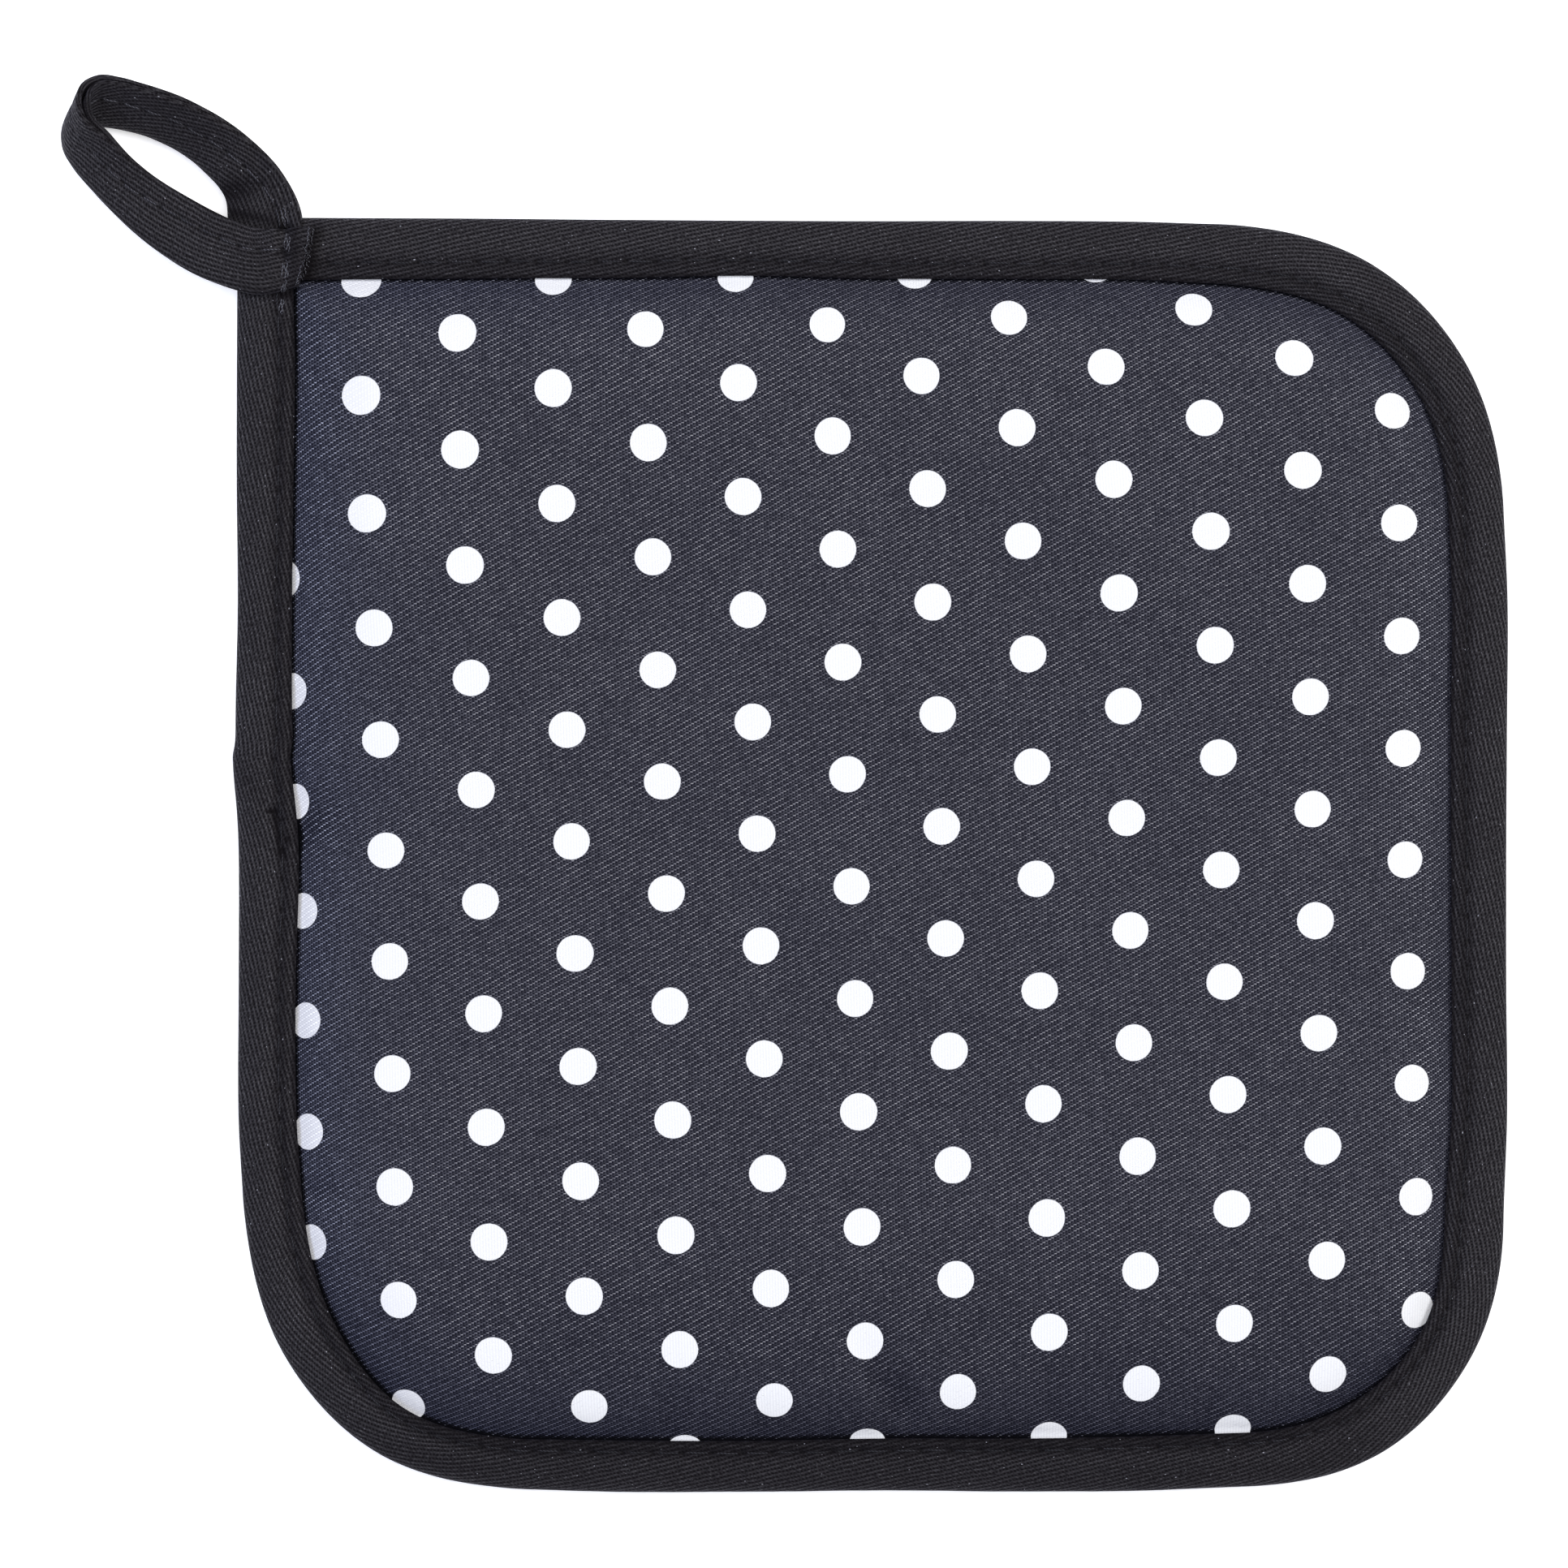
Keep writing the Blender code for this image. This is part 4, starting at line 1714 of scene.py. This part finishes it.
    def section(self, run: TapeRun) -> tuple[np.ndarray, np.ndarray, np.ndarray]:
        """Shape every section of the tape as one closed line.

        Args:
            run: the sections.

        Returns:
            For each section's points the distance from the fold, the distance from the
            tape's middle, and the distance over the cloth from the fold's crest.
        """
        width = run.width[:, None]
        half = run.half[:, None]
        edge = width - self.lobe
        inner = half - self.thickness
        round_reach = self.arch * half
        turn = 0.5 - 0.5 * np.cos(np.linspace(0, math.pi, 11))[None, 1:]
        rounded = round_reach * (1 - np.cos(turn * math.pi / 2)) ** 1.3
        flat = round_reach + (edge - round_reach) * np.linspace(0, 1, 20)[None, 1:]
        layer = np.hstack([rounded, flat])
        top = self.outer_height(run, layer, 1.0)
        bottom = self.outer_height(run, layer, -1.0)
        crest = np.zeros((len(width), 1))

        lobes = np.linspace(0, 1, 9)[None, 1:]
        edge_reach = edge + self.lobe * np.abs(np.sin(lobes * math.tau)) ** 0.6
        top_edge = top[:, -1:] + (inner - top[:, -1:]) * lobes
        bottom_edge = bottom[:, -1:] + (inner - bottom[:, -1:]) * lobes
        inner_share = np.linspace(0, 1, 5)[None, 1:]
        inside = edge + (self.thickness - edge) * inner_share
        inner_height = np.broadcast_to(inner, inside.shape)

        # Over the upper layer, in between the layers, and back under the lower one.
        going = np.hstack([layer, edge_reach, inside])
        reach = np.hstack([crest, going, going[:, -2::-1]])
        over = np.hstack([top, top_edge, inner_height])
        under = np.hstack([bottom, bottom_edge, inner_height[:, :-1]])
        height = np.hstack([crest, over, -under[:, ::-1]])
        steps = np.hypot(np.diff(reach, axis=1), np.diff(height, axis=1))
        skin = np.hstack([crest, np.cumsum(steps, axis=1)])
        round_trip = skin[:, -1:] + np.hypot(reach[:, -1:], height[:, -1:])
        from_crest = np.where(skin > round_trip / 2, skin - round_trip, skin)
        return reach, height, from_crest

    def surface(
        self, run: TapeRun, reach: np.ndarray, side: float, lift: np.ndarray
    ) -> np.ndarray:
        """Find places over the outer skin of one layer.

        Args:
            run: the sections.
            reach: distance from the fold.
            side: 1 for the layer that shows in the binding and -1 for the other.
            lift: height over the skin.

        Returns:
            A point for each section.
        """
        height = self.outer_height(run, reach[:, None], side)[:, 0] + lift
        return run.fold + run.across * reach[:, None] + run.face * (side * height)[:, None]

    def build(self, run: TapeRun, material: bpy.types.Material) -> bpy.types.Object:
        """Make the tape.

        Args:
            run: its sections.
            material: its cloth.

        Returns:
            The piece, riding on the frame.
        """
        reach, height, skin = self.section(run)
        rows, columns = reach.shape
        points = (
            run.fold[:, None]
            + run.across[:, None] * reach[..., None]
            + run.face[:, None] * height[..., None]
        )
        # The creases are pressed into the skin that looks up.
        looks_up = np.clip(run.face[:, None, 2] * height / run.half[:, None], 0, 1)
        points[..., 2] += press(TAPE_CREASES, points[..., 0], points[..., 1]) * looks_up
        faces = grid_faces(rows, columns, True)
        faces += self.end_faces(reach[0], height[0], 0, 1.0)
        faces += self.end_faces(reach[-1], height[-1], (rows - 1) * columns, -1.0)
        on_limb = np.maximum(run.along - run.along[-1] + self.lower_limb, 0)
        behind = run.lag[:, None] * (reach / run.width[:, None] - 0.5)
        sheared = skin + self.loop_shear * on_limb[:, None]
        from_seam = reach - (run.width - run.seam)[:, None]
        columns_of = {
            "cloth": (run.along[:, None] - behind, sheared, 1.0),
            "seam": (run.stitches[:, None], from_seam, run.pitch[:, None]),
            # The tape's painted shade.
            "painted_shade": (self.shade_mark(points, run, from_seam, height),) * 3,
        }
        marks = {
            name: np.stack(np.broadcast_arrays(*parts, skin)[:3], -1).reshape(-1, 3)
            for name, parts in columns_of.items()
        }
        piece = make_piece("bound_tape", points.reshape(-1, 3), faces, material, marks)
        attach(piece, "root")
        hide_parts("edge_binding", "hanging_loop")
        return piece

    def shade_mark(
        self, points: np.ndarray, run: TapeRun, from_seam: np.ndarray, height: np.ndarray
    ) -> np.ndarray:
        """Find how much shade is painted on each place: along the seam's groove, on the
        open edge, towards the near side's fold and along the painted shade lines of the
        tape.

        Args:
            points: of each section.
            run: the sections.
            from_seam: how far each is from the seam, towards the open edges.
            height: of each point over the tape's middle.

        Returns:
            How much painted shade it has, from 0 to 1.
        """
        bound = 1 - 0.8 * self.in_loop(run.along)[:, None]
        at_seam, past_seam = self.groove
        reach = np.where(from_seam < 0, *self.groove_reach)
        groove = at_seam * bell(from_seam, reach) + past_seam * smooth_step(from_seam / 0.8)
        lip = smooth_step((from_seam - run.seam[:, None] + self.lip_width) / 0.35)
        total = bound * np.maximum(groove, self.lip_dark * lip)
        x, y = points[..., 0], points[..., 1]
        total += self.near_fold_shade * np.clip((self.hem_from - y) / self.hem_run, 0, 1)
        looks_up = run.face[:, None, 2] * height > 0.2
        total += press(PAINTED_TAPE_SHADES, x, y) * looks_up
        return np.clip(total, 0, self.darkest)

    def end_faces(
        self, reach: np.ndarray, height: np.ndarray, first: int, turn: float
    ) -> list[tuple[int, ...]]:
        """Close one end of the tape.

        Args:
            reach: of the end's points from the fold.
            height: of them over the tape's middle.
            first: number of the end's first point.
            turn: 1 where the tape starts and -1 at its cut end.

        Returns:
            The faces, as vertex numbers.
        """
        outline = [Vector((x, y, 0.0)) for x, y in zip(reach, height)]
        faces = []
        for a, b, c in tessellate_polygon([outline]):
            turned = (outline[b] - outline[a]).cross(outline[c] - outline[a]).z * turn
            faces.append(tuple(first + i for i in ((a, b, c) if turned > 0 else (a, c, b))))
        return faces


# ------------------------------------------------------------------ threads


@dataclass
class ThreadBundle:
    """Short lengths of thread gathered into one mesh.

    Attributes:
        radius: of a thread.
        sides: of its section.
        points: of the mesh, for each length of thread.
        plies: the mark that the finish reads, one row for each of those points.
        faces: of the mesh.
        count: how many points there are so far.
    """

    radius: float = 0.12
    sides: int = 8
    points: list[np.ndarray] = field(default_factory=list)
    plies: list[np.ndarray] = field(default_factory=list)
    faces: list = field(default_factory=list)
    count: int = 0

    def add(
        self, line: np.ndarray, radius: float | None = None, caught: float = 1.0
    ) -> None:
        """Add one length of thread.

        Args:
            line: the points of its middle, one row each.
            radius: if not the bundle's own.
            caught: how much painted light it has, from 0 in a groove to 1.
        """
        heading = normalised(np.gradient(line, axis=0))
        level = np.cross(heading, (0.0, 0.0, 1.0))
        level[np.linalg.norm(level, axis=1) < 0.05] = (1.0, 0.0, 0.0)
        level = normalised(level)
        over = np.cross(level, heading)
        angle = np.linspace(0, math.tau, self.sides, endpoint=False)
        full = radius or self.radius
        taper = np.sin(np.linspace(0.08, math.pi - 0.08, len(line)))
        thick = full * np.minimum(1.6 * np.sqrt(taper), 1)
        ring = (
            line[:, None]
            + level[:, None] * (np.cos(angle)[None, :, None] * thick[:, None, None])
            + over[:, None] * (np.sin(angle)[None, :, None] * thick[:, None, None])
        )
        travelled = np.r_[0, np.cumsum(np.linalg.norm(np.diff(line, axis=0), axis=1))]
        # Each length starts at another place of the thread's twist.
        twisted = travelled[:, None] + self.count * 0.37
        ply = np.stack(np.broadcast_arrays(twisted, angle[None], caught), -1)
        start = self.count
        rows = len(line)
        quads = (np.array(grid_faces(rows, self.sides, True)) + start).tolist()
        caps = [
            tuple(range(start + self.sides - 1, start - 1, -1)),
            tuple(range(start + (rows - 1) * self.sides, start + rows * self.sides)),
        ]
        self.points.append(ring.reshape(-1, 3))
        self.plies.append(ply.reshape(-1, 3))
        self.faces += quads + caps
        self.count += rows * self.sides

    def build(self, name: str, material: bpy.types.Material) -> bpy.types.Object:
        """Make the bundle's mesh.

        Args:
            name: of the piece.
            material: its thread.

        Returns:
            The piece, riding on the frame.
        """
        marks = {"ply": np.vstack(self.plies)}
        piece = make_piece(name, np.vstack(self.points), self.faces, material, marks)
        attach(piece, "root")
        return piece


@dataclass(frozen=True)
class Seams:
    """The stitches that hold the tape.

    Attributes:
        tape: the tape that they hold.
        lift: of a stitch's middle over the cloth.
        dive: how far its ends go under the cloth.
        steps: points along a stitch.
        hole: how much of its pitch a stitch leaves free at each needle hole.
        caught: how much painted light a stitch has in the binding's groove.
        loop_caught: how much more painted light it has in the loop, where it lies free.
    """

    tape: FoldedTape
    lift: float = 0.05
    dive: float = 0.24
    steps: int = 9
    hole: float = 0.07
    caught: float = 0.38
    loop_caught: float = 0.50

    def edge_stitches(
        self, run: TapeRun, side: float, name: str, material: bpy.types.Material
    ) -> bpy.types.Object:
        """Sew the seam along the whole tape, on one of its faces.

        Args:
            run: the tape's sections.
            side: 1 for the layer that shows in the binding and -1 for the other.
            name: of the piece.
            material: its thread.

        Returns:
            The piece.
        """
        bundle = ThreadBundle()
        last = int(run.stitches[-1]) - 1
        share = np.linspace(0, 1, self.steps)
        # No two stitches lie quite alike, and each runs from one needle hole to the next.
        for number in range(1, last):
            wobble = 0.05 * math.sin(number * 2.4) + 0.03 * math.sin(number * 5.1)
            counted = number + self.hole + (1 - 2 * self.hole) * share
            along = np.interp(counted, run.stitches, run.along)
            here = run.at(along)
            reach = here.width - here.seam + wobble + 0.06 * (share - 0.5)
            arch = np.sin(share * math.pi) ** 0.6
            free = float(self.tape.in_loop(along).mean())
            proud = self.lift + 0.04 * free + 0.05 * math.sin(number * 3.7)
            lift = -self.dive + (proud + self.dive) * arch
            line = self.tape.surface(here, reach, side, lift)
            # Each stitch's painted light, more in the loop where it lies free.
            uneven = 0.78 + 0.22 * math.sin(number * 5.3)
            bundle.add(line, caught=(self.caught + self.loop_caught * free) * uneven)
        return bundle.build(name, material)


@dataclass(frozen=True)
class Corner:
    """What is sewn and frayed where the loop comes back across the corner.

    Attributes:
        strands: side by side in the seam that holds the crossing.
        apart: from one strand to the next.
        frays: number of loose ends along the tape's cut end.
        radius: of a strand.
        dive: how far a strand's ends go under the cloth.
        arch: how much higher its middle is.
        sunk: how far it sinks in between.
        fray_length: of the shortest loose end, and how much longer the longest is.
        fray_radius: of the thinnest, and how much thicker the thickest is.
        fray_lift: of the lowest over the cloth, and how much higher the highest is.
        seam: its stitches in the plan, from beyond the crossing to where the edge's seam
            goes on.
        cut: the cut end's line in the plan.
    """

    strands: int = 3
    apart: float = 0.27
    frays: int = 84
    radius: float = 0.085
    dive: float = 0.16
    arch: float = 0.26
    sunk: float = 0.16
    fray_length: tuple[float, float] = (0.18, 0.24)
    fray_radius: tuple[float, float] = (0.045, 0.03)
    fray_lift: tuple[float, float] = (0.04, 0.10)
    seam: tuple[tuple[tuple[float, float], tuple[float, float]], ...] = (
        ((-92.8, 101.4), (-92.0, 98.5)),
        ((-91.7, 97.6), (-91.9, 94.8)),
        ((-92.2, 93.6), (-92.0, 90.3)),
        ((-92.1, 90.0), (-92.4, 88.0)),
        ((-92.6, 87.4), (-92.9, 84.6)),
    )
    cut: tuple[tuple[float, float], ...] = ((-88.0, 98.3), (-88.7, 94.0), (-89.9, 89.4))

    def drop(
        self, solid: BVHTree, x: np.ndarray, y: np.ndarray, lift: np.ndarray
    ) -> np.ndarray:
        """Lay a line of the plan over the tape.

        Args:
            solid: the tape's mesh.
            x: places in the plan.
            y: the same, up its left side.
            lift: how far over the tape each of them lies.

        Returns:
            The line's points, one row each.
        """
        line = []
        for place_x, place_y, over in zip(x, y, lift):
            above = Vector((place_x, place_y, 60.0)) * MM
            hit = solid.ray_cast(above, Vector((0, 0, -1)))[0]
            line.append((place_x, place_y, (hit.z / MM if hit else 0.0) + over))
        return np.array(line)

    def tacks(
        self, bundle: ThreadBundle, solid: BVHTree, chance: np.random.Generator
    ) -> None:
        """Sew the seam that holds the crossing, each stitch of a few loose strands.

        Args:
            bundle: the thread that it adds to.
            solid: the tape's mesh.
            chance: where its unevenness comes from.
        """
        share = np.linspace(0, 1, 11)
        for start, end in self.seam:
            for strand in range(self.strands):
                aside = (strand - (self.strands - 1) / 2) * self.apart
                aside += 0.10 * chance.standard_normal()
                twist = 0.12 * np.sin(share * math.pi * (2.2 + strand) + strand * 2.1)
                x = start[0] + (end[0] - start[0]) * share + aside + twist
                y = start[1] + (end[1] - start[1]) * share + 0.30 * chance.standard_normal()
                # Each strand sinks into the cloth once or twice along its stitch.
                sunk = np.sin(share * math.tau * 1.3 + 6.3 * chance.random()) ** 2
                lift = self.arch * np.sin(share * math.pi) ** 0.5 - self.sunk * sunk
                lift -= self.dive
                bundle.add(self.drop(solid, x, y, lift))

    def fray(
        self, bundle: ThreadBundle, solid: BVHTree, chance: np.random.Generator
    ) -> None:
        """Fray the tape's cut end, with loose ends beside it and on it in turn.

        Args:
            bundle: the thread that it adds to.
            solid: the tape's mesh.
            chance: where its unevenness comes from.
        """
        cut = np.array(self.cut)
        along = np.linspace(-0.5, 0.5, 5)
        for number in range(self.frays):
            place = (number + chance.random()) / self.frays * (len(cut) - 1)
            here = read_table(cut, np.array([place]))[0]
            length = self.fray_length[0] + self.fray_length[1] * chance.random()
            angle = 0.45 * chance.standard_normal() + (1.2, 1.9)[number % 2]
            middle = here[0] + (-0.32, 0.18)[number % 2] + 0.16 * chance.standard_normal()
            x = middle + along * length * math.cos(angle)
            y = here[1] + along * length * math.sin(angle)
            lift = self.fray_lift[0] + self.fray_lift[1] * chance.random() - 0.3 * along**2
            radius = self.fray_radius[0] + self.fray_radius[1] * chance.random()
            bundle.add(self.drop(solid, x, y, lift), radius)

    def build(
        self, tape: bpy.types.Object, material: bpy.types.Material
    ) -> bpy.types.Object:
        """Make the seam over the crossing and the frayed end.

        Args:
            tape: the tape that they lie on.
            material: the thread.

        Returns:
            The piece.
        """
        mesh = tape.data
        solid = BVHTree.FromPolygons(
            [v.co for v in mesh.vertices], [list(p.vertices) for p in mesh.polygons]
        )
        bundle = ThreadBundle(radius=self.radius)
        chance = np.random.default_rng(7)
        self.tacks(bundle, solid, chance)
        self.fray(bundle, solid, chance)
        return bundle.build("corner_tacks_and_fray", material)


# ------------------------------------------------------------------ the studio


@dataclass(frozen=True)
class SoftBox:
    """A soft lamp that faces the pot holder.

    Attributes:
        name: which one it is.
        place: where it stands, in metres.
        size: its width and height, in metres.
        power: of its light, in watts.
        colour: of its light.
    """

    name: str
    place: tuple[float, float, float]
    size: tuple[float, float]
    power: float
    colour: str


SOFT_BOXES = (
    SoftBox("overhead", (0.0, 0.05, 2.40), (1.2, 1.0), 12.0, "FFFFFF"),
    SoftBox("far_side", (0.0, 1.00, 2.00), (2.0, 1.3), 21.5, "FFFCF6"),
    SoftBox("left_side", (-1.70, 0.20, 1.45), (1.4, 1.5), 33.0, "DCE5FF"),
    SoftBox("right_side", (1.70, 0.20, 1.45), (1.4, 1.5), 37.0, "FBFCFF"),
    SoftBox("near_side", (0.0, -1.70, 0.75), (2.0, 0.5), 3.0, "FFFFFF"),
)


@dataclass(frozen=True)
class Studio:
    """The pale floor, the soft light and the camera.

    Attributes:
        lens: long, so that the camera looks nearly straight down everywhere.
        sensor: width of the camera's sensor.
        look_at: what the middle of the picture shows, in millimetres.
        floor_side: in metres.
        floor_gap: how far the floor lies under the pad, so that they don't share a plane.
        sky: brightness of the studio's walls.
        glow: light that comes up through the floor, as on a light table.
        paper: colour of the floor.
        walls: colour of the studio's walls.
    """

    lens: float = 250.0
    sensor: float = 36.0
    look_at: tuple[float, float, float] = (-13.9, 11.1, 3.0)
    floor_side: float = 6.0
    floor_gap: float = 0.2
    sky: float = 0.10
    glow: float = 0.45
    paper: str = "FAFAFB"
    walls: str = "F2F5FF"

    def build(self) -> None:
        """Make the floor, the lamps, the walls and the camera."""
        self.floor()
        self.lamps()
        self.camera()
        bpy.context.scene.view_settings.view_transform = "Standard"

    def floor(self) -> None:
        """Make the plain pale floor, a sheet of matt paper that is lit from below too."""
        half = self.floor_side / 2 / MM
        signs = ((-1, -1), (1, -1), (1, 1), (-1, 1))
        corners = [(half * x, half * y, -self.floor_gap) for x, y in signs]
        paper = bpy.data.materials.new("pale_paper_sweep")
        paper.use_nodes = True
        shader = paper.node_tree.nodes["Principled BSDF"]
        shader.inputs["Base Color"].default_value = linear(self.paper)
        shader.inputs["Roughness"].default_value = 0.9
        shader.inputs["Emission Color"].default_value = linear("FFFFFF")
        shader.inputs["Emission Strength"].default_value = self.glow
        floor = make_piece("floor", np.array(corners), [(0, 1, 2, 3)], paper)
        floor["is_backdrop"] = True

    def lamps(self) -> None:
        """Set up the walls and the soft boxes."""
        world = bpy.data.worlds.new("studio_walls")
        world.use_nodes = True
        backdrop = world.node_tree.nodes["Background"]
        backdrop.inputs["Color"].default_value = linear(self.walls)
        backdrop.inputs["Strength"].default_value = self.sky
        bpy.context.scene.world = world
        for box in SOFT_BOXES:
            lamp = bpy.data.lights.new(box.name, "AREA")
            lamp.shape = "RECTANGLE"
            lamp.size, lamp.size_y = box.size
            lamp.energy = box.power
            lamp.color = linear(box.colour)[:3]
            stand = bpy.data.objects.new(box.name, lamp)
            stand.location = box.place
            aim = -Vector(box.place)
            stand.rotation_euler = aim.to_track_quat("-Z", "Y").to_euler()
            bpy.context.scene.collection.objects.link(stand)

    def camera(self) -> None:
        """Set the camera straight above the pot holder."""
        view = bpy.data.cameras.new("camera")
        view.lens = self.lens
        view.sensor_width = self.sensor
        view.clip_start = 0.01
        view.clip_end = 20.0
        camera = bpy.data.objects.new("camera", view)
        width = PICTURE_SIDE / PIXELS_PER_MM
        distance = width * self.lens / self.sensor
        x, y, z = self.look_at
        camera.location = Vector((x, y, z + distance)) * MM
        bpy.context.scene.collection.objects.link(camera)
        bpy.context.scene.camera = camera


# ------------------------------------------------------------------ putting it together


def report(piece: bpy.types.Object) -> None:
    """Log how large a piece's mesh is."""
    vertices, faces = len(piece.data.vertices), len(piece.data.polygons)
    LOG.info("%s: %d vertices, %d faces", piece.name, vertices, faces)


def write_sizes() -> None:
    """Put the CAD box and the visual model's box into plain lists."""
    boxes = {"cad": CAD_BOX, "visual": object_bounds()}
    plain = {name: [list(corner) for corner in box] for name, box in boxes.items()}


def main() -> None:
    """Build the pot holder and its studio."""
    logging.basicConfig(level=logging.INFO, format="%(name)s %(message)s")
    plan = EdgePlan()
    cloth, tape_cloth = SPOTTED_COTTON.make(), BLACK_TAPE.make()
    thread, dusty_thread = BLACK_THREAD.make(), DUSTY_THREAD.make()
    report(SpottedPad(plan).build(cloth))
    tape = FoldedTape(plan)
    run = tape.run()
    bound = tape.build(run, tape_cloth)
    report(bound)
    seams = Seams(tape)
    report(seams.edge_stitches(run, 1.0, "topstitching", thread))
    report(seams.edge_stitches(run, -1.0, "underside_stitching", thread))
    report(Corner().build(bound, dusty_thread))
    Studio().build()
    write_sizes()


if __name__ == "__main__":
    main()
